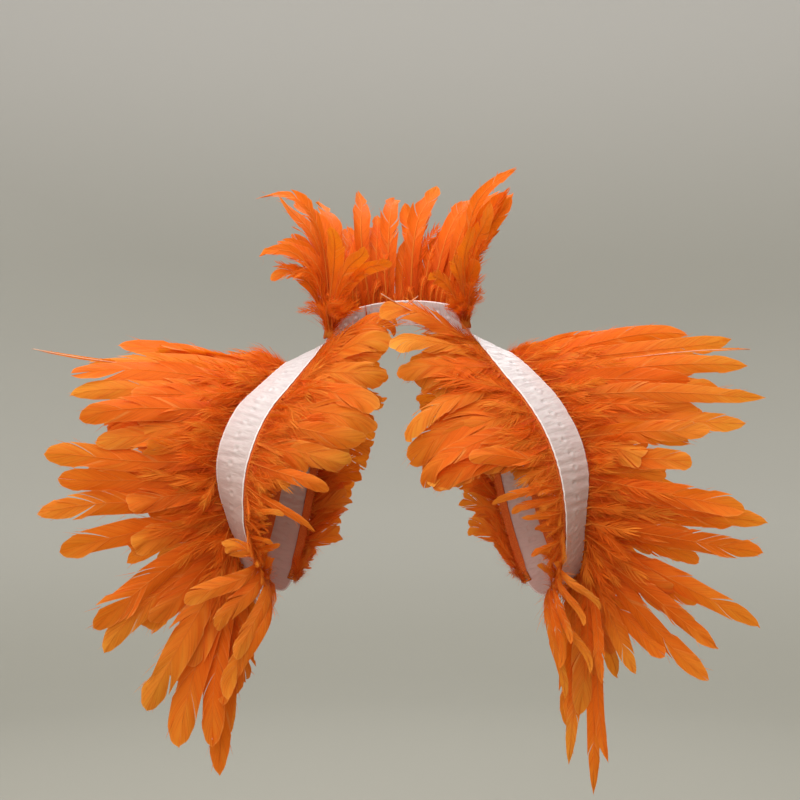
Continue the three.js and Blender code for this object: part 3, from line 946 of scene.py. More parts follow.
@dataclass
class BarbPattern:
    """The vane of a feather laid flat: which barb each point lies on, and where the vane parts.

    A point has a root on the shaft, as a share of its length, a share of its barb, a side, and the
    number of its lock, which is a run of barbs that cling together. Its rim tells how near it lies
    to the edge of its lock. Starts and widths are shares of the shaft, and ends are shares of a
    barb.
    """

    seed: int
    clefts: int = 5
    first_cleft: int = 4
    last_cleft: float = 0.86
    rows: int = 36
    columns: int = 4
    single: int = 26
    single_starts: tuple[float, float] = (0.06, 0.99)
    single_widths: tuple[float, float] = (0.004, 0.01)
    single_foot: float = 0.7
    single_ends: tuple[float, float] = (1.04, 1.3)
    downy: int = 30
    downy_starts: tuple[float, float] = (0.0, 0.34)
    downy_widths: tuple[float, float] = (0.003, 0.007)
    loose_rim: float = 0.6
    touch: float = 1e-4
    turn_noise: float = 2.4
    stretch_noise: float = 0.04
    lift_noise: float = 0.07
    sweep: float = 0.25
    root: Array = field(init=False)
    reach: Array = field(init=False)
    hand: Array = field(init=False)
    lock: Array = field(init=False)
    kind: Array = field(init=False)
    rim: Array = field(init=False)
    quads: Array = field(init=False)
    tris: Array = field(init=False)
    locks: int = field(init=False, default=0)
    vane_locks: int = field(init=False, default=0)
    downy_from: int = field(init=False, default=0)

    def __post_init__(self) -> None:
        """Lay out the vane, the barbs that have come loose at its edges, and the down at its base."""
        rng = np.random.default_rng(self.seed)
        self.root, self.reach, self.hand, self.kind, self.rim = (np.zeros(0) for _ in range(5))
        self.lock = np.zeros(0, int)
        self.tris, self.quads = np.zeros((0, 3), int), np.zeros((0, 4), int)
        self.lay_vane(rng)
        self.vane_locks = self.locks
        for _ in range(self.single):
            self.lay_single(rng)
        self.downy_from = self.locks
        for _ in range(self.downy):
            start, width = rng.uniform(*self.downy_starts), rng.uniform(*self.downy_widths)
            self.lay_barb(start, width, rng.choice((-1, 1)), Barb.DOWN)

    def lay_vane(self, rng: np.random.Generator) -> None:
        """Lay a grid for both webs of the vane, and part it at its clefts.

        Args:
            rng: The source of chance.
        """
        flat = bmesh.new()
        bmesh.ops.create_grid(flat, x_segments=self.rows, y_segments=2 * self.columns, size=1.0)
        step = 2 / self.rows
        near = step / 4
        places = {}
        for hand in (-1, 1):
            choices = np.arange(self.first_cleft, round(self.rows * self.last_cleft))
            picks = np.sort(rng.choice(choices, self.clefts, replace=False))
            places[hand] = -1 + step * picks
        parted = []
        for edge in flat.edges:
            a, b = (v.co for v in edge.verts)
            hand = 1 if a.y + b.y > 0 else -1
            if abs(a.x - b.x) < near and np.any(np.abs(places[hand] - a.x) < near):
                parted.append(edge)
        bmesh.ops.split_edges(flat, edges=parted)
        flat.verts.index_update()
        rows = []
        for vert in flat.verts:
            middle = sum((f.calc_center_median() for f in vert.link_faces), Vector())
            middle /= len(vert.link_faces)
            sign = 1 if middle.y > 0 else -1
            run = int(np.sum(places[sign] < middle.x))
            at_cleft = bool(np.any(np.abs(places[sign] - vert.co.x) < near))
            rim = 1.0 if at_cleft or abs(vert.co.y) > 1 - self.touch else 0.0
            lock = run + (self.clefts + 1) * (sign > 0)
            rows.append(((vert.co.x + 1) / 2, abs(vert.co.y), 1 if vert.co.y > 0 else -1, rim, lock))
        self.root, self.reach, self.hand, self.rim, lock = np.array(rows).T
        self.lock = lock.astype(int)
        self.kind = np.full(len(rows), Barb.VANE.value)
        self.quads = np.array([[v.index for v in face.verts] for face in flat.faces])
        flat.free()
        self.locks = 2 * (self.clefts + 1)

    def add(self, root: Array, reach: Array, hand: float, tris: Array, quads: Array, kind: Barb) -> None:
        """Add a lock of its own.

        Args:
            root: The points' roots on the shaft.
            reach: Their shares of the barb.
            hand: The side of the shaft.
            tris: Its triangles.
            quads: Its four-sided faces.
            kind: What it is.
        """
        first, count = len(self.root), len(root)
        self.root = np.concatenate((self.root, root))
        self.reach = np.concatenate((self.reach, reach))
        self.hand = np.concatenate((self.hand, np.full(count, float(hand))))
        self.lock = np.concatenate((self.lock, np.full(count, self.locks)))
        self.kind = np.concatenate((self.kind, np.full(count, kind.value)))
        self.rim = np.concatenate((self.rim, reach * self.loose_rim))
        self.tris = np.vstack((self.tris, tris + first))
        self.quads = np.vstack((self.quads, quads + first))
        self.locks += 1

    def lay_single(self, rng: np.random.Generator) -> None:
        """Lay one barb that has come away from the edge of the vane.

        Args:
            rng: The source of chance.
        """
        start = rng.uniform(*self.single_starts)
        width = rng.uniform(*self.single_widths)
        root = np.array((start, start + width, start + width / 2))
        reach = np.array((self.single_foot, self.single_foot, rng.uniform(*self.single_ends)))
        hand = rng.choice((-1, 1))
        self.add(root, reach, hand, np.array([[0, 1, 2]]), np.zeros((0, 4), int), Barb.VANE)

    def lay_barb(self, start: float, width: float, hand: float, kind: Barb) -> None:
        """Lay one narrow barb from the shaft outwards.

        Args:
            start: Its root on the shaft.
            width: Its width there, as a share of the shaft.
            hand: The side of the shaft.
            kind: What it is.
        """
        middle = start + width / 2
        half = np.array(BARB_HALVES) * width
        quads = np.array([[0, 1, 3, 2], [2, 3, 5, 4]])
        self.add(middle + half, np.array(BARB_REACHES), hand, np.array([[4, 5, 6]]), quads, kind)


@dataclass
class LoosePattern(BarbPattern):
    """A soft feather whose barbs all lie apart."""

    barbs: int = 30
    uneven: float = 0.3
    overlap: float = 1.15
    single: int = 0
    downy: int = 24
    turn_noise: float = 5.5
    stretch_noise: float = 0.16
    lift_noise: float = 0.10
    sweep: float = 0.5

    def lay_vane(self, rng: np.random.Generator) -> None:
        """Lay each barb of both webs by itself.

        Args:
            rng: The source of chance.
        """
        for hand in (-1, 1):
            for number in range(self.barbs):
                start = (number + rng.uniform(-self.uneven, self.uneven)) / self.barbs
                self.lay_barb(max(0.0, start), self.overlap / self.barbs, hand, Barb.VANE)


@dataclass
class Plumes:
    """Many feathers as one mesh: points, faces and the values that their finish reads."""

    points: list[Array] = field(default_factory=list)
    marks: list[Array] = field(default_factory=list)
    maps: list[Array] = field(default_factory=list)
    quads: list[Array] = field(default_factory=list)
    tris: list[Array] = field(default_factory=list)
    count: int = 0

    def add(self, points: Array, marks: Array, maps: Array, quads: Array, tris: Array) -> None:
        """Add a block of points and faces.

        Args:
            points: Its points.
            marks: How far along the feather each lies, its tone, its kind and its rim.
            maps: Its place on the barb map.
            quads: Its four-sided faces.
            tris: Its triangles.
        """
        self.points.append(points)
        self.marks.append(marks)
        self.maps.append(maps)
        self.quads.append(quads + self.count)
        self.tris.append(tris + self.count)
        self.count += len(points)

    def build(self, name: str) -> bpy.types.Object:
        """The mesh object.

        Args:
            name: Its name.

        Returns:
            The object, linked to the scene.
        """
        points, quads, tris = np.vstack(self.points), np.vstack(self.quads), np.vstack(self.tris)
        corners = np.concatenate((quads.ravel(), tris.ravel())).astype(np.int32)
        sizes = np.concatenate((np.full(len(quads), 4), np.full(len(tris), 3)))
        starts = np.concatenate(([0], np.cumsum(sizes)[:-1])).astype(np.int32)
        mesh = bpy.data.meshes.new(name)
        mesh.vertices.add(len(points))
        mesh.vertices.foreach_set("co", points.astype(np.float32).ravel())
        mesh.loops.add(len(corners))
        mesh.loops.foreach_set("vertex_index", corners)
        mesh.polygons.add(len(sizes))
        mesh.polygons.foreach_set("loop_start", starts)
        mesh.polygons.foreach_set("use_smooth", np.ones(len(sizes), bool))
        mesh.update(calc_edges=True)
        attribute = mesh.attributes.new("plume", "FLOAT_COLOR", "POINT")
        attribute.data.foreach_set("color", np.vstack(self.marks).ravel())
        layer = mesh.uv_layers.new(name="barbs")
        layer.data.foreach_set("uv", np.vstack(self.maps)[corners].ravel())
        mesh.validate()
        return placed(name, mesh)


def placed(name: str, mesh: bpy.types.Mesh) -> bpy.types.Object:
    """A mesh as an object of the scene, at the origin.

    Args:
        name: The object's name.
        mesh: Its mesh.

    Returns:
        The object.
    """
    made = bpy.data.objects.new(name, mesh)
    bpy.context.scene.collection.objects.link(made)
    return made


def finished(
    name: str, form: bmesh.types.BMesh, finish: bpy.types.Material, smooth: bool = False
) -> bpy.types.Object:
    """A form as an object with its material. The form is freed.

    Args:
        name: The object's name.
        form: The form.
        finish: Its material.
        smooth: Whether its faces are shaded smooth.

    Returns:
        The object.
    """
    mesh = bpy.data.meshes.new(name)
    form.to_mesh(mesh)
    form.free()
    mesh.polygons.foreach_set("use_smooth", np.full(len(mesh.polygons), smooth))
    mesh.materials.append(finish)
    return placed(name, mesh)


@dataclass(frozen=True)
class VaneForm:
    """How a vane's barbs leave the shaft, along its length.

    Widths, from a blunt feather to a pointed one, are shares of the vane's own. Angles and turns
    are in degrees. Ripples have their number of waves and their height as a share of the width.
    """

    at: tuple[float, ...] = (0.0, 0.12, 0.3, 0.5, 0.82, 0.93, 1.0)
    blunt: tuple[float, ...] = (0.42, 0.6, 0.88, 1.0, 0.96, 0.84, 0.62)
    pointed: tuple[float, ...] = (0.42, 0.7, 0.95, 1.0, 0.66, 0.42, 0.2)
    angles: tuple[float, ...] = (58.0, 48.0, 40.0, 36.0, 31.0, 21.0, 0.0)
    least_angle: float = 30.0
    split_tips: float = 0.14
    shaft_start: float = 1.15 * MM
    shaft_end: float = 0.3 * MM
    bare_shaft: float = 1.1 * MM
    bare_end: float = 0.5 * MM
    bare_vane: float = 0.45
    shaft_power: float = 0.7
    early: float = 3.5 * MM
    cup: float = 0.14
    single_turn: float = 3.0
    single_lift: float = 2.0
    down_length: float = 17 * MM
    down_turn: float = 30.0
    down_stretch: tuple[float, float] = (0.5, 1.25)
    down_lift: float = 0.35
    lift_power: float = 1.6
    ripples: tuple[tuple[float, float], ...] = ((11.0, 0.035), (23.0, 0.015))
    map_unit: float = 10 * MM
    map_spread: float = 50.0


@dataclass
class FeatherMaker:
    """Lays barb patterns along shafts."""

    form: VaneForm = field(default_factory=VaneForm)
    shafts: ShaftMaker = field(default_factory=ShaftMaker)
    patterns: list[BarbPattern] = field(default_factory=list)
    loose_patterns: list[LoosePattern] = field(default_factory=list)
    pattern_count: int = 9
    fewest_clefts: int = 3
    cleft_kinds: int = 5
    loose_count: int = 5
    loose_seed: int = 50
    shaft_sides: int = 3
    shaft_rings: int = 11

    def __post_init__(self) -> None:
        """Lay out the patterns."""
        for seed in range(self.pattern_count):
            clefts = self.fewest_clefts + seed % self.cleft_kinds
            self.patterns.append(BarbPattern(seed=seed, clefts=clefts))
        for seed in range(self.loose_count):
            self.loose_patterns.append(LoosePattern(seed=self.loose_seed + seed))

    def lay(self, plumes: Plumes, feather: Feather, rng: np.random.Generator) -> None:
        """Add one feather to a mesh.

        Args:
            plumes: The mesh that takes it.
            feather: The feather.
            rng: The source of chance.
        """
        stations = self.shafts.stations(feather)
        last_width = mixed(self.form.blunt[-1], self.form.pointed[-1], feather.point)
        end = 1 - last_width * feather.wide / stations.length
        self.lay_barbs(plumes, feather, stations, end, rng)
        self.lay_shaft(plumes, feather, stations, end)

    def lay_barbs(
        self, plumes: Plumes, feather: Feather, stations: Stations, end: float, rng: np.random.Generator
    ) -> None:
        """Add the barbs of one feather.

        Args:
            plumes: The mesh that takes them.
            feather: The feather.
            stations: Its shaft.
            end: The share of the length at which its shaft ends.
            rng: The source of chance.
        """
        choices = self.loose_patterns if feather.loose else self.patterns
        form, pattern = self.form, choices[rng.integers(len(choices))]
        count, vane, downy = pattern.locks, pattern.vane_locks, pattern.downy_from
        turn = np.radians(rng.normal(0, pattern.turn_noise, count))
        stretch = rng.normal(1.0, pattern.stretch_noise, count)
        lift = rng.normal(0, pattern.lift_noise, count) * feather.wide
        ends = np.array((pattern.clefts, 2 * pattern.clefts + 1))
        if rng.uniform() > form.split_tips:
            turn[ends], lift[ends] = 0.0, lift[ends[0]]
        turn[vane:downy] *= form.single_turn
        lift[vane:downy] *= form.single_lift
        turn[downy:] = np.radians(rng.uniform(-form.down_turn, form.down_turn, count - downy))
        stretch[downy:] = rng.uniform(*form.down_stretch, count - downy)
        lift[downy:] = rng.normal(0.0, form.down_lift, count - downy) * form.down_length
        root, reach, hand = pattern.root, pattern.reach, pattern.hand
        lock, kind = pattern.lock, pattern.kind
        is_down = kind == Barb.DOWN.value
        angle = np.radians(np.interp(root, form.at, form.angles))
        blunt, pointed = (np.interp(root, form.at, widths) for widths in (form.blunt, form.pointed))
        width = mixed(blunt, pointed, feather.point) * (form.bare_vane if feather.bare else 1.0)
        least = math.radians(form.least_angle)
        barb = width * feather.wide / 2 / np.sin(np.maximum(angle, least))
        barb = np.where(is_down, form.down_length, barb) * stretch[lock]
        slant = (angle + turn[lock]) * (1 - pattern.sweep * reach)
        out = hand * barb * reach * np.sin(slant)
        ahead = barb * reach * np.cos(slant)
        start = -form.early / stations.length
        where = mixed(start, end, root) + ahead / stations.length
        waves = rng.uniform(0, 2 * math.pi, len(form.ripples))
        ripple = sum(np.sin(root * n + wave) * size for (n, size), wave in zip(form.ripples, waves))
        above = -form.cup * feather.wide * (out / (feather.wide / 2)) ** 2 * (1 - is_down)
        above = above + lift[lock] * reach**form.lift_power + ripple * feather.wide * reach * hand
        middle, across, over = stations.sample(where)
        points = middle + across * out[:, None] + over * above[:, None]
        tone = np.full(len(points), feather.tone)
        marks = np.stack((where, tone, kind, pattern.rim), axis=1)
        along = root * stations.length / form.map_unit + rng.uniform(0, form.map_spread)
        maps = np.stack((along, reach * hand), axis=1)
        plumes.add(points, marks, maps, pattern.quads, pattern.tris)

    def lay_shaft(self, plumes: Plumes, feather: Feather, stations: Stations, end: float) -> None:
        """Add the shaft of one feather.

        Args:
            plumes: The mesh that takes it.
            feather: The feather.
            stations: Its shaft.
            end: The share of the length at which it ends.
        """
        form, sides, rings = self.form, self.shaft_sides, self.shaft_rings
        share = np.linspace(stations.share[0], end, rings)
        middle, across, over = stations.sample(share)
        ends = (form.bare_shaft, form.bare_end) if feather.bare else (form.shaft_start, form.shaft_end)
        radius = mixed(*ends, np.linspace(0, 1, rings) ** form.shaft_power)[:, None]
        kind = Barb.QUILL if feather.bare else Barb.SHAFT
        blocks = []
        for turn in np.arange(sides) * (2 * math.pi / sides) + math.pi / 2:
            blocks.append(middle + (across * math.cos(turn) + over * math.sin(turn)) * radius)
        points = np.stack(blocks, axis=1).reshape(-1, 3)
        quads = []
        for ring in range(rings - 1):
            for side in range(sides):
                beside = (side + 1) % sides
                here, there = ring * sides, (ring + 1) * sides
                quads.append((here + side, here + beside, there + beside, there + side))
        last = (rings - 1) * sides
        tris = np.array([(0, 2, 1), (last, last + 1, last + 2)])
        even = np.ones(len(points))
        marks = (np.repeat(share, sides), even * feather.tone, even * kind.value, even * 0)
        maps = np.stack((np.repeat(share, sides), np.zeros(len(points))), axis=1)
        plumes.add(points, np.stack(marks, axis=1), maps, np.array(quads), tris)


class NodeBench:
    """Makes the nodes of one material."""

    def __init__(self, name: str) -> None:
        """Start an empty material with an output.

        Args:
            name: The material's name.
        """
        self.material = bpy.data.materials.new(name)
        self.material.use_nodes = True
        self.tree = self.material.node_tree
        self.tree.nodes.clear()
        self.output = self.tree.nodes.new("ShaderNodeOutputMaterial")

    def node(self, kind: str, settings: dict | None = None, inputs: dict | None = None) -> bpy.types.Node:
        """Make a node.

        Args:
            kind: The node's type, without the words that start every shader node's.
            settings: Its own settings, such as an operation, or a ramp's stops.
            inputs: Values or links of its sockets, by name or number.

        Returns:
            The node.
        """
        made = self.tree.nodes.new("ShaderNode" + kind)
        for key, value in (settings or {}).items():
            if key == "stops":
                self.set_stops(made.color_ramp, value)
            else:
                setattr(made, key, value)
        for key, value in (inputs or {}).items():
            self.feed(made.inputs[key], value)
        return made

    def set_stops(self, ramp: bpy.types.ColorRamp, stops: Iterable[tuple[float, Colour]]) -> None:
        """Give a ramp its stops.

        Args:
            ramp: The ramp.
            stops: The place and the colour of each stop.
        """
        rows = list(stops)
        while len(ramp.elements) < len(rows):
            ramp.elements.new(1.0)
        for element, (place, colour) in zip(ramp.elements, rows):
            element.position = place
            element.color = (*colour, 1.0)

    def feed(self, socket: bpy.types.NodeSocket, value: object) -> None:
        """Link a socket, or set its value.

        Args:
            socket: The socket.
            value: A number, a colour, a socket or a wrapped socket.
        """
        if isinstance(value, Amount):
            value = value.socket
        if isinstance(value, bpy.types.NodeSocket):
            self.tree.links.new(value, socket)
        elif isinstance(value, tuple) and socket.type == "RGBA":
            socket.default_value = (*value[:3], 1.0)
        else:
            socket.default_value = value

    def amount(self, socket: bpy.types.NodeSocket) -> "Amount":
        """A socket that takes part in sums."""
        return Amount(self, socket)

    def mix(self, share: object, low: object, high: object, blend: str = "MIX") -> bpy.types.NodeSocket:
        """A colour between two others.

        Args:
            share: How far towards the second.
            low: The first colour.
            high: The second.
            blend: The way of mixing.

        Returns:
            The mixed colour's socket.
        """
        settings = {"data_type": "RGBA", "blend_type": blend, "clamp_factor": True}
        made = self.node("Mix", settings, {0: share, 6: low, 7: high})
        return made.outputs[2]

    def noise(self, vector: object, scale: float, detail: float) -> "Amount":
        """The value of a noise pattern."""
        made = self.node("TexNoise", inputs={"Vector": vector, "Scale": scale, "Detail": detail})
        return self.amount(made.outputs["Fac"])

    def flat_noise(self, along: object, off: object, detail: float) -> "Amount":
        """The value of a noise pattern laid over two ways of its own."""
        place = self.node("CombineXYZ", inputs={"X": along, "Y": off})
        return self.noise(place.outputs[0], 1.0, detail)

    def flat_ways(self, name: str) -> tuple["Amount", "Amount"]:
        """The two ways of a UV map, as numbers."""
        grain = self.node("UVMap", {"uv_map": name})
        flat = self.node("SeparateXYZ", inputs={"Vector": grain.outputs["UV"]})
        return self.amount(flat.outputs["X"]), self.amount(flat.outputs["Y"])

    def height(self) -> "Amount":
        """The height of a place above the object's origin."""
        place = self.node("TexCoord").outputs["Object"]
        return self.amount(self.node("SeparateXYZ", inputs={"Vector": place}).outputs["Z"])

    def bump(self, strength: float, distance: float, height: object) -> bpy.types.NodeSocket:
        """A normal that a height tilts."""
        made = self.node("Bump", inputs={"Strength": strength, "Distance": distance, "Height": height})
        return made.outputs["Normal"]

    def close(self, shader: bpy.types.NodeSocket) -> bpy.types.Material:
        """Link the shader to the output, and give the material."""
        self.tree.links.new(shader, self.output.inputs["Surface"])
        return self.material


class Amount:
    """A number that a socket carries, which can be used in sums."""

    def __init__(self, bench: NodeBench, socket: bpy.types.NodeSocket) -> None:
        """Wrap a socket.

        Args:
            bench: The material's bench.
            socket: The socket.
        """
        self.bench = bench
        self.socket = socket

    def math(self, operation: str, *values: object) -> "Amount":
        """The result of a Math node.

        Args:
            operation: Its operation.
            values: What it works on.

        Returns:
            The result.
        """
        inputs = dict(enumerate(values))
        made = self.bench.node("Math", {"operation": operation}, inputs)
        return Amount(self.bench, made.outputs[0])

    def __add__(self, other: object) -> "Amount":
        """This and another."""
        return self.math("ADD", self, other)

    def __radd__(self, other: object) -> "Amount":
        """Another and this."""
        return self.math("ADD", other, self)

    def __sub__(self, other: object) -> "Amount":
        """This less another."""
        return self.math("SUBTRACT", self, other)

    def __rsub__(self, other: object) -> "Amount":
        """Another less this."""
        return self.math("SUBTRACT", other, self)

    def __mul__(self, other: object) -> "Amount":
        """This times another."""
        return self.math("MULTIPLY", self, other)

    def __rmul__(self, other: object) -> "Amount":
        """Another times this."""
        return self.math("MULTIPLY", other, self)

    def __pow__(self, other: object) -> "Amount":
        """This to a power."""
        return self.math("POWER", self, other)

    def ramp(self, low: float, high: float, to_low: float = 0.0, to_high: float = 1.0) -> "Amount":
        """This, softly spread from one range to another.

        Args:
            low: The start of its range.
            high: The end of its range.
            to_low: What the start becomes.
            to_high: What the end becomes.

        Returns:
            The spread value.
        """
        inputs = {"Value": self, "From Min": low, "From Max": high, "To Min": to_low, "To Max": to_high}
        made = self.bench.node("MapRange", {"interpolation_type": "SMOOTHSTEP"}, inputs)
        return Amount(self.bench, made.outputs["Result"])

    def wave(self, turns: float) -> "Amount":
        """A wave of this, from 0 to 1."""
        return self.math("SINE", self * (turns * 2 * math.pi)) * 0.5 + 0.5


@dataclass(frozen=True)
class FeatherFinish:
    """Dyed feather: painted shade darkens it at the root, where the feathers overlap; it is bright along
    the vane, and pale where it is thin, which partly paints a highlight on its rims and clefts.

    Spans are of the shares and values that the feathers carry, and gains tell how much each counts.
    """

    # This colour is the painted shade at the roots, and it also darkens the streaks between the barbs.
    root_shade_and_streak: Colour = (0.50, 0.030, 0.0)
    body: Colour = (0.90, 0.165, 0.003)
    light: Colour = (0.93, 0.385, 0.035)
    pale: Colour = (1.0, 0.50, 0.12)
    shaft: Colour = (0.90, 0.28, 0.030)
    quill: Colour = (1.0, 0.74, 0.52)
    through: Colour = (1.0, 0.27, 0.008)
    through_share: float = 0.32
    roughness: float = 0.6
    sheen: float = 0.08
    sheen_roughness: float = 0.4
    sheen_tint: Colour = (1.0, 0.5, 0.2)
    gloss: float = 0.22
    barbs_per_unit: float = 13.0
    barb_relief: float = 0.5
    relief: float = 0.6 * MM
    bump: float = 0.4
    streak_scale: tuple[float, float] = (6.0, 0.8)
    streak_detail: float = 3.0
    patch_scale: tuple[float, float] = (1.1, 0.5)
    patch_detail: float = 1.0
    root_shade_span: tuple[float, float] = (0.0, 0.45)
    root_body_share: float = 0.4
    tip_span: tuple[float, float] = (0.5, 1.0)
    tip_gain: float = 0.45
    patch_gain: float = 0.9
    tone_gain: float = 1.1
    rim_span: tuple[float, float] = (0.1, 0.5)
    rim_power: float = 5.0
    rim_gain: float = 0.4
    streak_span: tuple[float, float] = (0.42, 0.78)
    streak_gain: float = 0.5
    shaft_span: tuple[float, float] = (0.4, 0.55)
    shaft_gain: float = 0.8
    quill_span: tuple[float, float] = (0.8, 0.95)
    quill_reach: tuple[float, float] = (0.35, 0.7)

    def material(self) -> bpy.types.Material:
        """The material.

        Returns:
            The finished material.
        """
        bench = NodeBench("dyed_feather")
        mark = bench.node("Attribute", {"attribute_name": "plume"})
        split = bench.node("SeparateColor", inputs={"Color": mark.outputs["Color"]})
        reach, tone, kind = (bench.amount(split.outputs[n]) for n in range(3))
        rim = bench.amount(mark.outputs["Alpha"])
        along, off = bench.flat_ways("barbs")
        (streak_along, streak_off), (patch_along, patch_off) = self.streak_scale, self.patch_scale
        streak = bench.flat_noise(along * streak_along, off * streak_off, self.streak_detail)
        patch = bench.flat_noise(along * patch_along, off * patch_off, self.patch_detail)
        # Painted shade: the colour darkens towards the roots, for the shade where the feathers overlap.
        mix_share = reach.ramp(*self.root_shade_span) * (1 - self.root_body_share) + self.root_body_share
        root_shaded = bench.mix(mix_share, self.root_shade_and_streak, self.body)
        uneven = (patch - 0.5) * self.patch_gain + (tone - 0.5) * self.tone_gain
        bright = reach.ramp(*self.tip_span) * self.tip_gain + uneven
        shaded_and_toned = bench.mix(bright, root_shaded, self.light)
        # Paler along the thin rims and clefts: partly the thin barbs, and partly a painted highlight that
        # the edges catch.
        rim_highlight = rim**self.rim_power * reach.ramp(*self.rim_span) * self.rim_gain
        rim_highlighted = bench.mix(rim_highlight, shaded_and_toned, self.pale)
        darker = bench.mix(streak.ramp(*self.streak_span) * self.streak_gain, rim_highlighted, self.root_shade_and_streak)
        shafted = bench.mix(kind.ramp(*self.shaft_span) * self.shaft_gain, darker, self.shaft)
        bare = kind.ramp(*self.quill_span) * reach.ramp(*self.quill_reach)
        quilled = bench.mix(bare, shafted, self.quill)
        ridge = along.wave(self.barbs_per_unit) * self.barb_relief + streak
        skin = bench.node(
            "BsdfPrincipled",
            inputs={
                "Base Color": quilled,
                "Roughness": self.roughness,
                "Sheen Weight": self.sheen,
                "Sheen Roughness": self.sheen_roughness,
                "Sheen Tint": self.sheen_tint,
                "Specular IOR Level": self.gloss,
                "Normal": bench.bump(self.bump, self.relief, ridge),
            },
        )
        lit = bench.node("BsdfTranslucent", inputs={"Color": self.through})
        shaders = {0: self.through_share, 1: skin.outputs[0], 2: lit.outputs[0]}
        return bench.close(bench.node("MixShader", inputs=shaders).outputs[0])


@dataclass(frozen=True)
class SatinFinish:
    """Pale satin ribbon, with its weave, its sheen, its creases and its selvedges.

    Lower down it is painted darker and warmer: painted shade, and a painted reflection of the orange
    feathers that stand round it. Its flat pattern is in millimetres, and the selvedge's span is measured
    in from the edge.
    """

    light: Colour = (0.68, 0.625, 0.615)
    shade: Colour = (0.55, 0.44, 0.45)
    # Painted shade and a painted reflection of the orange feathers, for the ribbon's lower part.
    bounce_shade: Colour = (0.54, 0.34, 0.28)
    edge: Colour = (0.96, 0.90, 0.88)
    roughness: tuple[float, float] = (0.29, 0.42)
    sheen: float = 0.15
    gloss: float = 0.6
    bounce_shade_heights: tuple[float, float] = (-0.19, -0.02)
    bounce_shade_share: float = 0.75
    crease_scale: tuple[float, float] = (0.42, 0.10)
    crease_slant: float = 0.05
    crease_detail: float = 4.0
    crease_span: tuple[float, float] = (0.40, 0.64)
    crease_gain: float = 0.45
    weave_scale: tuple[float, float] = (9.0, 1.2)
    weave_detail: float = 2.0
    weave_span: tuple[float, float] = (0.3, 0.7)
    weave_gain: float = 0.12
    border_span: tuple[float, float] = (1.6, 1.1)
    border_gain: float = 0.7
    border_relief: float = 0.25
    relief: float = 1.4 * MM
    bump: float = 0.5

    def material(self, name: str, half_width: float) -> bpy.types.Material:
        """The material.

        Args:
            name: Its name.
            half_width: Half of the ribbon's width in millimetres.

        Returns:
            The finished material.
        """
        bench = NodeBench(name)
        along, off = bench.flat_ways("weave")
        (crease_along, crease_off), (weave_along, weave_off) = self.crease_scale, self.weave_scale
        slanted = along * crease_along + off * self.crease_slant
        crease = bench.flat_noise(slanted, off * crease_off, self.crease_detail)
        weave = bench.flat_noise(along * weave_along, off * weave_off, self.weave_detail)
        # Painted shade and a painted orange reflection of the feathers, growing lower down the ribbon.
        bounce_shade_share = bench.height().ramp(*self.bounce_shade_heights, self.bounce_shade_share, 0.0)
        shade = crease.ramp(*self.crease_span) * self.crease_gain + weave * self.weave_gain
        lined = bench.mix(shade, self.light, self.shade)
        bounce_shaded = bench.mix(bounce_shade_share, lined, self.bounce_shade)
        inner, outer = (half_width - inset for inset in self.border_span)
        border = off.math("ABSOLUTE", off).ramp(inner, outer)
        relief = crease + weave * self.weave_gain + border * self.border_relief
        skin = bench.node(
            "BsdfPrincipled",
            inputs={
                "Base Color": bench.mix(border * self.border_gain, bounce_shaded, self.edge),
                "Roughness": weave.ramp(*self.weave_span, *self.roughness),
                "Sheen Weight": self.sheen,
                "Specular IOR Level": self.gloss,
                "Normal": bench.bump(self.bump, self.relief, relief),
            },
        )
        return bench.close(skin.outputs[0])


@dataclass(frozen=True)
class TapeFinish:
    """Orange cotton tape that the quills are sewn into."""

    colour: Colour = (0.62, 0.10, 0.005)
    thread: Colour = (0.80, 0.22, 0.03)
    roughness: float = 0.85
    threads_per_metre: float = 900.0
    thread_detail: float = 2.0
    thread_span: tuple[float, float] = (0.45, 0.7)
    thread_gain: float = 0.5
    relief: float = 0.4 * MM
    bump: float = 0.4

    def material(self) -> bpy.types.Material:
        """The material.

        Returns:
            The finished material.
        """
        bench = NodeBench("quill_tape")
        place = bench.node("TexCoord").outputs["Object"]
        weave = bench.noise(place, self.threads_per_metre, self.thread_detail)
        mix_share = weave.ramp(*self.thread_span) * self.thread_gain
        inputs = {
            "Base Color": bench.mix(mix_share, self.colour, self.thread),
            "Roughness": self.roughness,
            "Normal": bench.bump(self.bump, self.relief, weave),
        }
        return bench.close(bench.node("BsdfPrincipled", inputs=inputs).outputs[0])


@dataclass(frozen=True)
class StageFinish:
    """Plain paper behind and under the cape, with painted light: pale above, and painted shade makes it
    darker and warmer below.
    """

    # Painted light: the paper's colour grows darker and warmer lower down, as painted shade.
    high: Colour = (0.505, 0.49, 0.46)
    middle: Colour = (0.41, 0.40, 0.357)
    low: Colour = (0.33, 0.32, 0.275)
    roughness: float = 0.9
    lit_heights: tuple[float, float] = (0.15, 0.9)
    shaded_heights: tuple[float, float] = (-0.62, -0.3)

    def material(self) -> bpy.types.Material:
        """The material.

        Returns:
            The finished material.
        """
        bench = NodeBench("pale_backdrop")
        height = bench.height()
        upper = bench.mix(height.ramp(*self.lit_heights), self.middle, self.high)
        colour = bench.mix(height.ramp(*self.shaded_heights), self.low, upper)
        skin = bench.node("BsdfPrincipled", inputs={"Base Color": colour, "Roughness": self.roughness})
        return bench.close(skin.outputs[0])


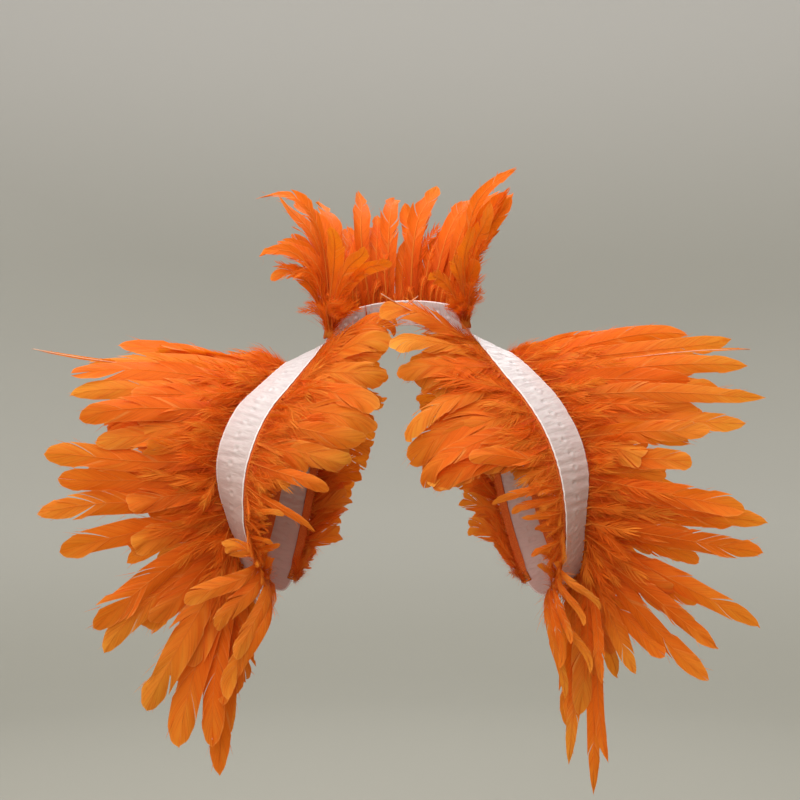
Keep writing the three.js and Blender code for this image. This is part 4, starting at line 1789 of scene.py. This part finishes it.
@dataclass
class SatinRibbon:
    """A satin ribbon along a band: a thin shell with creases, selvedges and a puckered seam.

    Creases have a number of turns along the ribbon, a slant, and a place and a spread across it in
    half widths. The pucker is the height of the ring round a stitch, as a share of its depth.
    """

    name: str
    node: str
    frame_at: Callable[[Array], BandFrame]
    sizes: RibbonSizes
    length: float
    closed: bool
    seed: int
    columns: int = 22
    step: float = 1.15 * MM
    shell: float = 0.8 * MM
    weld: float = 0.02 * MM
    crease_height: float = 0.10625 * MM
    crease_count: int = 26
    crease_turns: tuple[int, int] = (18, 90)
    crease_slant: float = 0.8
    crease_starts: tuple[float, float] = (0.0, 6.3)
    crease_runs: tuple[int, int] = (1, 7)
    crease_share: float = 0.55
    crease_place: float = 0.7
    crease_spread: tuple[float, float] = (0.2, 1.2)
    selvedge: float = 1.3 * MM
    selvedge_height: float = 0.22 * MM
    stitch_gap: float = 13 * MM
    stitch_drift: float = 2.2 * MM
    drift_turn: float = 2.3
    stitch_depth: float = 1.1 * MM
    stitch_radius: float = 1.7 * MM
    pucker: float = 0.5
    pucker_place: float = 1.9

    def creases(self, place: Array, across: Array, rng: np.random.Generator) -> Array:
        """The fine creases that run across the satin.

        Args:
            place: Distances along the ribbon.
            across: Distances from its middle line.
            rng: The source of chance.

        Returns:
            Their heights.
        """
        turns = 2 * math.pi / self.length
        half = 2 * across / self.sizes.width
        found = np.zeros(len(place))
        for _ in range(self.crease_count):
            count = rng.integers(*self.crease_turns)
            slant = rng.uniform(-self.crease_slant, self.crease_slant)
            phase = rng.uniform(0, 2 * math.pi)
            run = turns * rng.integers(*self.crease_runs) * place + rng.uniform(*self.crease_starts)
            span = self.crease_share + (1 - self.crease_share) * np.sin(run)
            middle = rng.uniform(-self.crease_place, self.crease_place)
            where = np.exp(-((half - middle) ** 2) / rng.uniform(*self.crease_spread))
            found += np.sin(turns * count * place + slant * half + phase) * span * where
        return found * self.crease_height

    def stitches(self, place: Array, across: Array) -> Array:
        """The seam's dimples, each with a raised ring.

        Args:
            place: Distances along the ribbon.
            across: Distances from its middle line.

        Returns:
            Their heights.
        """
        pitch = self.length / max(1, round(self.length / self.stitch_gap))
        index = np.floor(place / pitch)
        drift = np.sin(index * self.drift_turn) * self.stitch_drift
        near = np.hypot(place - (index + 0.5) * pitch, across - drift) / self.stitch_radius
        ring = self.pucker * np.exp(-((near - self.pucker_place) ** 2))
        return self.stitch_depth * (ring - np.exp(-(near**2)))

    def build(self, finish: bpy.types.Material) -> None:
        """Args:
            finish: Its material.
        """
        rng = np.random.default_rng(self.seed)
        rows = round(self.length / self.step)
        half_width = self.sizes.width / 2
        shell = bmesh.new()
        bmesh.ops.create_grid(shell, x_segments=rows, y_segments=self.columns, size=1.0)
        flat = np.array([v.co for v in shell.verts])
        share = (flat[:, 0] + 1) / 2
        along, across = share * self.length, flat[:, 1] * half_width
        rolled = self.selvedge_height * np.exp(-(((half_width - np.abs(across)) / self.selvedge) ** 2))
        height = self.creases(along, across, rng) + rolled + self.stitches(along, across)
        frame = self.frame_at(share)
        places = frame.middle + frame.edge * across[:, None] + frame.face * height[:, None]
        weave = shell.loops.layers.uv.new("weave")
        for face in shell.faces:
            for loop in face.loops:
                co = loop.vert.co
                loop[weave].uv = ((co.x + 1) / 2 * self.length / MM, co.y * half_width / MM)
        for vert, place in zip(shell.verts, places):
            vert.co = place
        if self.closed:
            bmesh.ops.remove_doubles(shell, verts=shell.verts, dist=self.weld)
        bmesh.ops.recalc_face_normals(shell, faces=shell.faces)
        made = finished(self.name, shell, finish, smooth=True)
        wall = made.modifiers.new("wall", "SOLIDIFY")
        wall.thickness = self.shell
        wall.offset = 0.0
        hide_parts(self.node)
        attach(made, "root")
        self.length
        LOG.info("%s: %.0f mm by %.0f mm", self.name, self.sizes.width / MM, self.length / MM)


@dataclass
class FeatherStrip:
    """A strip of feathers sewn into a tape, under the edge of a band.

    Across and above are its place on the band, first and last where it starts and ends, and the
    edge sign the side of the band to which it points. Its fillings are drawn a little beyond its
    first and last rows, and no feather is shorter than the least length.
    """

    name: str
    node: str
    frame_at: Callable[[Array], BandFrame]
    rows: tuple[TipRow, ...]
    tip_side: int
    edge_sign: int
    across: float
    above: float
    first: float
    last: float
    over: Layer
    under: Layer
    seed: int
    fillings: tuple[Filling, ...] = ()
    habit: Habit = field(default_factory=Habit)
    bays: tuple[Bay, ...] = ()
    crossing: tuple[TipRow, ...] = ()
    crossing_slope: float = 58.0
    crossing_curl: float = 12.0
    least_length: float = 30 * MM
    beyond: float = 0.012
    closed: bool = False
    uneven: float = 0.06
    most: float = 1.06
    wider_between: float = 1.0
    tape_rings: int = 120
    strip: StripSizes = field(default_factory=StripSizes)

    def tip(self, row: TipRow) -> Array:
        """A row's tip in metres."""
        return np.array((self.tip_side * row.out, row.fore, row.up)) * MM

    def feather(
        self,
        at: float,
        tip: Array,
        wide: float,
        show: float,
        sag: float,
        layer: Layer,
        parity: int,
        share: float,
    ) -> Feather:
        """One feather of a layer.

        Args:
            at: The place of its quill.
            tip: The tip of a full feather there.
            wide: Its width in millimetres.
            show: How far it faces the front.
            sag: How far its end bends down.
            layer: Its layer.
            parity: Whether it is an even or an odd row's.
            share: The share of the full length that it has.

        Returns:
            The feather.
        """
        frame = self.frame_at(np.array([at]))
        inside = self.strip.width / 2 - self.strip.quill_start
        across = self.across + self.edge_sign * inside
        root = frame.point(across, self.above)[0]
        return Feather(
            root=root,
            leave=frame.edge[0] * self.edge_sign,
            side=frame.along[0],
            goal=mixed(root, tip, share),
            away=frame.away[0],
            wide=wide * MM,
            show=show,
            sag=sag,
            slope=layer.slopes[parity],
            lift=layer.lifts[parity] * MM,
            tilt=layer.tilt,
        )

    def kept(self, at: float, share: float) -> float:
        """A shorter feather's share of the full length, less where a bay opens."""
        return min([share] + [bay.reach for bay in self.bays if abs(at - bay.at) < bay.half])

    def long_feathers(self, rng: np.random.Generator) -> list[Feather]:
        """The feathers of the two main layers.

        Args:
            rng: The source of chance.

        Returns:
            The feathers.
        """
        found = []
        for i, row in enumerate(self.rows):
            parity = i % 2
            slim = self.habit.slim(row.at)
            wide, share = row.wide * slim, self.over.share
            made = self.feather(row.at, self.tip(row), wide, row.show, row.sag, self.over, parity, share)
            made.bare = row.wide < BARE_WIDTH
            found.append(made)
            if row.alone or i + 1 == len(self.rows):
                continue
            following = self.rows[i + 1]
            wide = ((row.wide + following.wide) / 2 + self.wider_between) * slim
            show = (row.show + following.show) / 2
            share = self.under.share * (1 + self.uneven * wobble(i))
            share = min(self.under.share * self.most, share * rng.uniform(*self.habit.shorten))
            lean = 0.5 + rng.choice((-1, 1)) * rng.uniform(*self.habit.pull)
            goal = mixed(self.tip(row), self.tip(following), lean)
            at = (row.at + following.at) / 2
            share = self.kept(at, share)
            made = self.feather(at, goal, wide, show, row.sag, self.under, parity, share)
            made.curl = float(rng.uniform(*self.habit.under_curls))
            found.append(made)
        for row in self.crossing:
            made = self.feather(row.at, self.tip(row), row.wide, row.show, row.sag, self.over, 0, 1.0)
            made.slope = self.crossing_slope
            made.curl = self.crossing_curl
            found.append(made)
        for feather in found:
            feather.curl = feather.curl or float(rng.uniform(*self.habit.curls))
            feather.curl_from = self.habit.curl_from
            feather.tone = float(rng.uniform(*self.habit.tones))
            feather.hook = float(rng.uniform(*self.habit.hook))
            feather.leaning = self.habit.leaning
            feather.bow = float(rng.normal(0, self.habit.bow))
            feather.roll = float(rng.normal(0, self.habit.roll))
            feather.point = float(rng.uniform(*self.habit.points))
            if feather.bare:
                feather.hook = feather.curl = 0.0
        return found

    def short_feathers(self, rng: np.random.Generator) -> list[Feather]:
        """Shorter feathers that fill the strip between the long ones.

        Args:
            rng: The source of chance.

        Returns:
            The feathers.
        """
        rows = list(self.rows)
        ats = [row.at for row in rows]
        if self.closed:
            rows.append(rows[0])
            ats.append(ats[0] + 1)
        tips = np.array([self.tip(row) for row in rows])
        found = []
        for filling in self.fillings:
            for i in range(filling.count):
                place = mixed(*filling.span, (i + rng.uniform(0.0, 1.0)) / filling.count)
                at = mixed(ats[0] - self.beyond, ats[-1] + self.beyond, place)
                aim = np.clip(at + rng.normal(0, filling.stray), ats[0], ats[-1])
                tip = np.array([np.interp(aim, ats, tips[:, n]) for n in range(3)])
                row = rows[min(int(np.searchsorted(ats, at)), len(ats) - 1)]
                share = self.kept(at, rng.uniform(*filling.shares))
                slope = float(rng.uniform(*filling.slopes))
                made = self.feather(at, tip, 1.0, row.show, row.sag, self.over, 0, share)
                reach = float(np.linalg.norm(made.goal - made.root))
                made.goal = mixed(made.root, made.goal, max(1.0, self.least_length / reach))
                made.wide = rng.uniform(*filling.widths) * MM * self.habit.slim(at)
                made.slope = slope
                made.lift = slope * filling.rise * MM
                made.tilt = float(rng.uniform(*filling.tilts))
                made.tone = float(rng.uniform(*self.habit.tones))
                made.leaning = self.habit.leaning
                made.bow = float(rng.normal(0, filling.bow))
                made.roll = float(rng.normal(0, filling.roll))
                made.curl = float(rng.uniform(*filling.curls))
                made.loose = filling.loose
                found.append(made)
        return found

    def tape_lines(self) -> list[Array]:
        """The lines that the four corners of the tape follow.

        Returns:
            A line of points for each corner.
        """
        share = np.linspace(self.first, self.last, self.tape_rings + 1)
        half, wall = self.strip.width / 2, self.strip.wall / 2
        low, high = sorted((-half * self.edge_sign, (half + self.strip.lip) * self.edge_sign))
        nearest = np.minimum(share - self.first, self.last - share) / self.strip.narrowed
        taper = 1.0 if self.closed else np.clip(nearest, self.strip.narrow_end, 1.0)[:, None]
        frame = self.frame_at(share)
        corners = ((low, -wall), (high, -wall), (high, wall), (low, wall))
        return [frame.point(self.across + w * taper, self.above + n * taper) for w, n in corners]

    def tape(self, finish: bpy.types.Material) -> None:
        """Build the tape that the quills are sewn into.

        Args:
            finish: Its material.
        """
        lines = self.tape_lines()
        tube = bmesh.new()
        ring = bmesh.ops.create_circle(tube, segments=4, radius=self.strip.width / 2, cap_ends=False)
        for vert, line in zip(ring["verts"], lines):
            vert.co = line[0]
        first_edges = edges = list(tube.edges)
        for station in range(1, self.tape_rings + (0 if self.closed else 1)):
            grown = bmesh.ops.extrude_edge_only(tube, edges=edges)["geom"]
            verts = [g for g in grown if isinstance(g, bmesh.types.BMVert)]
            edges = [g for g in grown if isinstance(g, bmesh.types.BMEdge)]
            for vert in verts:
                before = [e.other_vert(vert) for e in vert.link_edges if e.other_vert(vert) not in verts]
                gaps = [(before[0].co - Vector(line[station - 1])).length for line in lines]
                vert.co = lines[gaps.index(min(gaps))][station]
        if self.closed:
            bmesh.ops.bridge_loops(tube, edges=edges + first_edges)
        else:
            bmesh.ops.holes_fill(tube, edges=tube.edges, sides=4)
        bmesh.ops.recalc_face_normals(tube, faces=tube.faces)
        tube.verts.sort(key=lambda vert: vert.co.dot(SORT_WAY))
        tube.faces.sort(key=lambda face: face.calc_center_median().dot(SORT_WAY))
        made = finished(self.name + "_tape", tube, finish)
        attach(made, "root")
        LOG.info("%s: %d rings", made.name, self.tape_rings)

    def build(self, maker: FeatherMaker, finish: bpy.types.Material, tape: bpy.types.Material) -> None:
        """Build the strip's feathers and its tape.

        Args:
            maker: Makes the feathers.
            finish: The feathers' material.
            tape: The tape's material.
        """
        rng = np.random.default_rng(self.seed)
        plumes = Plumes()
        feathers = self.long_feathers(rng) + self.short_feathers(rng)
        for feather in feathers:
            maker.lay(plumes, feather, rng)
        made = plumes.build(self.name)
        made.data.materials.append(finish)
        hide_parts(self.node)
        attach(made, "root")
        self.tape(tape)
        faces = sum(len(p.vertices) - 2 for p in made.data.polygons)
        LOG.info("%s: %d feathers, %d triangles", self.name, len(feathers), faces)


@dataclass(frozen=True)
class SoftLight:
    """A square light: its place, its side, its power in watts and its tint."""

    name: str
    place: Place
    size: float
    power: float
    tint: Colour
    aim: Place = (0.0, 0.0, -0.1)

    def build(self) -> None:
        """Add the light, pointing at its aim."""
        data = bpy.data.lights.new(self.name, "AREA")
        data.shape = "SQUARE"
        data.size = self.size
        data.energy = self.power
        data.color = self.tint
        made = bpy.data.objects.new(self.name, data)
        made.location = self.place
        way = Vector(self.aim) - Vector(self.place)
        made.rotation_euler = way.to_track_quat("-Z", "Y").to_euler()
        bpy.context.scene.collection.objects.link(made)


SOFT_LIGHTS = (
    SoftLight("over_light", (-0.3, -0.5, 1.7), 1.5, 33.0, (1.0, 0.98, 0.95)),
    SoftLight("front_light", (-0.5, -2.2, 0.7), 1.6, 27.5, (1.0, 0.98, 0.96)),
    SoftLight("back_light", (0.2, 1.5, 1.3), 1.4, 17.5, (1.0, 1.0, 1.0)),
    SoftLight("wall_light", (0.0, 0.9, 2.2), 1.4, 16.0, (1.0, 0.99, 0.97), aim=(0.0, 2.6, 0.2)),
)


@dataclass
class Studio:
    """The backdrop, the soft lights and the camera."""

    distance: float = 1.6
    height: float = -50.6 * MM
    view_width: float = 0.736
    floor: float = -0.62
    floor_radius: float = 1.7
    rim_radius: float = 0.9
    rim_steps: int = 8
    turn_steps: int = 96
    wall_height: float = 3.2
    weld: float = 0.01 * MM
    sky: Colour = (0.95, 0.97, 1.0)
    world_strength: float = 0.58

    def camera(self) -> None:
        """Set the camera at the photograph's viewing angle."""
        data = bpy.data.cameras.new("front_camera")
        data.angle = 2 * math.atan(self.view_width / 2 / self.distance)
        made = bpy.data.objects.new("front_camera", data)
        made.location = (0.0, -self.distance, self.height)
        made.rotation_euler = (math.radians(90), 0.0, 0.0)
        bpy.context.scene.collection.objects.link(made)
        bpy.context.scene.camera = made

    def backdrop(self) -> None:
        """Add a floor whose rim rises all round."""
        bowl = bmesh.new()
        profile = [(0.0, 0.0), (self.floor_radius, 0.0)]
        for turn in np.linspace(0, math.pi / 2, self.rim_steps + 1)[1:]:
            out = self.floor_radius + self.rim_radius * math.sin(turn)
            profile.append((out, self.rim_radius * (1 - math.cos(turn))))
        profile.append((self.floor_radius + self.rim_radius, self.wall_height))
        verts = [bowl.verts.new((x, 0.0, z + self.floor)) for x, z in profile]
        edges = [bowl.edges.new(pair) for pair in zip(verts, verts[1:])]
        bmesh.ops.spin(
            bowl,
            geom=verts + edges,
            cent=(0, 0, 0),
            axis=(0, 0, 1),
            angle=2 * math.pi,
            steps=self.turn_steps,
            use_merge=True,
        )
        bmesh.ops.remove_doubles(bowl, verts=bowl.verts, dist=self.weld)
        bmesh.ops.recalc_face_normals(bowl, faces=bowl.faces)
        finished("pale_floor", bowl, StageFinish().material(), smooth=True)

    def build(self) -> None:
        """Set up the camera, the backdrop and the lights."""
        self.camera()
        self.backdrop()
        world = bpy.data.worlds.new("soft_room")
        world.use_nodes = True
        back = world.node_tree.nodes["Background"]
        back.inputs["Color"].default_value = (*self.sky, 1.0)
        back.inputs["Strength"].default_value = self.world_strength
        bpy.context.scene.world = world
        bpy.context.scene.view_settings.view_transform = "Standard"
        for light in SOFT_LIGHTS:
            light.build()


@dataclass
class FeatherCape:
    """The whole cape. The strips' spans are in stations, of which an arm band has sixty."""

    strip: StripSizes = field(default_factory=StripSizes)
    stations: int = 60
    chest_span: tuple[int, int] = (1, 27)
    back_span: tuple[int, int] = (34, 59)
    ribbon_seed: int = 11
    strip_seed: int = 20
    seeds_apart: int = 10
    collar_seed: int = 17
    collar_strip_seed: int = 61
    satin: SatinFinish = field(default_factory=SatinFinish)
    maker: FeatherMaker = field(default_factory=FeatherMaker)

    def build(self) -> None:
        """Build each arm band with its feathers, and then the collar."""
        plume, tape = FeatherFinish().material(), TapeFinish().material()
        bands = {side: ArmBand(side) for side in Side}
        for side, band in bands.items():
            self.ribbon(band, side.label, self.ribbon_seed + side.value)
            for strip in self.arm_strips(side, band):
                strip.build(self.maker, plume, tape)
        path = CollarPath(bands[Side.LEFT], bands[Side.RIGHT], COLLAR_RIBBON, ARM_RIBBON)
        self.ribbon(path, "collar", self.collar_seed)
        self.collar_strip(path).build(self.maker, plume, tape)

    def ribbon(self, path: ArmBand | CollarPath, label: str, seed: int) -> None:
        """Build the satin ribbon of an arm band or of the collar.

        Args:
            path: The line that it follows.
            label: The side's name, or the collar's.
            seed: The seed of its creases.
        """
        closed = isinstance(path, ArmBand)
        node = f"arm_band_{label}" if closed else "collar_band"
        sizes = ARM_RIBBON if closed else COLLAR_RIBBON
        finish = self.satin.material(f"satin_{label}", sizes.width / 2 / MM)
        SatinRibbon(f"satin_{node}", node, path.frame, sizes, path.length, closed, seed).build(finish)

    def arm_strips(self, side: Side, band: ArmBand) -> list[FeatherStrip]:
        """The outer, chest and back feathers of one arm band.

        Args:
            side: The side.
            band: The loop that the band follows.

        Returns:
            The three strips.
        """
        whole = (0, self.stations)
        kinds = (
            ("outer", 1, whole, OUTER_TIPS, OUTER_FILLING, OUTER_HABITS[side], OUTER_BAYS),
            ("chest", -1, self.chest_span, CHEST_TIPS, CHEST_FILLING, CHEST_HABIT, CHEST_BAYS),
            ("back", -1, self.back_span, BACK_TIPS, BACK_FILLING, BACK_HABIT, {}),
        )
        found = []
        for order, (place, sign, (first, last), rows, fillings, habit, bays) in enumerate(kinds):
            strip = FeatherStrip(
                name=f"{place}_plumes_{side.label}",
                node=f"{place}_feathers_{side.label}",
                frame_at=band.frame,
                rows=rows[side],
                tip_side=side.value,
                edge_sign=sign,
                across=sign * self.strip.edge,
                above=-self.strip.below,
                first=first / self.stations,
                last=last / self.stations,
                over=OVER,
                under=UNDER,
                seed=self.strip_seed + self.seeds_apart * order + side.value,
                fillings=fillings,
                habit=habit,
                bays=bays.get(side, ()),
                crossing=CROSSING_TIPS[side] if place == "chest" else (),
                closed=place == "outer",
            )
            found.append(strip)
        return found

    def collar_strip(self, path: CollarPath) -> FeatherStrip:
        """The feathers that stand on the outside of the collar band.

        Args:
            path: The line that the band follows.

        Returns:
            The strip.
        """
        return FeatherStrip(
            name="collar_plumes",
            node="collar_feathers",
            frame_at=path.frame,
            rows=COLLAR_TIPS,
            tip_side=1,
            edge_sign=1,
            across=self.strip.collar_height - COLLAR_RIBBON.width / 2,
            above=self.strip.below,
            first=-self.strip.collar_past,
            last=1 + self.strip.collar_past,
            over=COLLAR_INSIDE,
            under=COLLAR_OUTSIDE,
            seed=self.collar_strip_seed,
            fillings=COLLAR_FILLING,
            habit=COLLAR_HABIT,
        )


def main() -> None:
    """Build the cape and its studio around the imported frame."""
    logging.basicConfig(level=logging.INFO, format="%(message)s")
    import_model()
    Studio().build()
    FeatherCape().build()


if __name__ == "__main__":
    main()
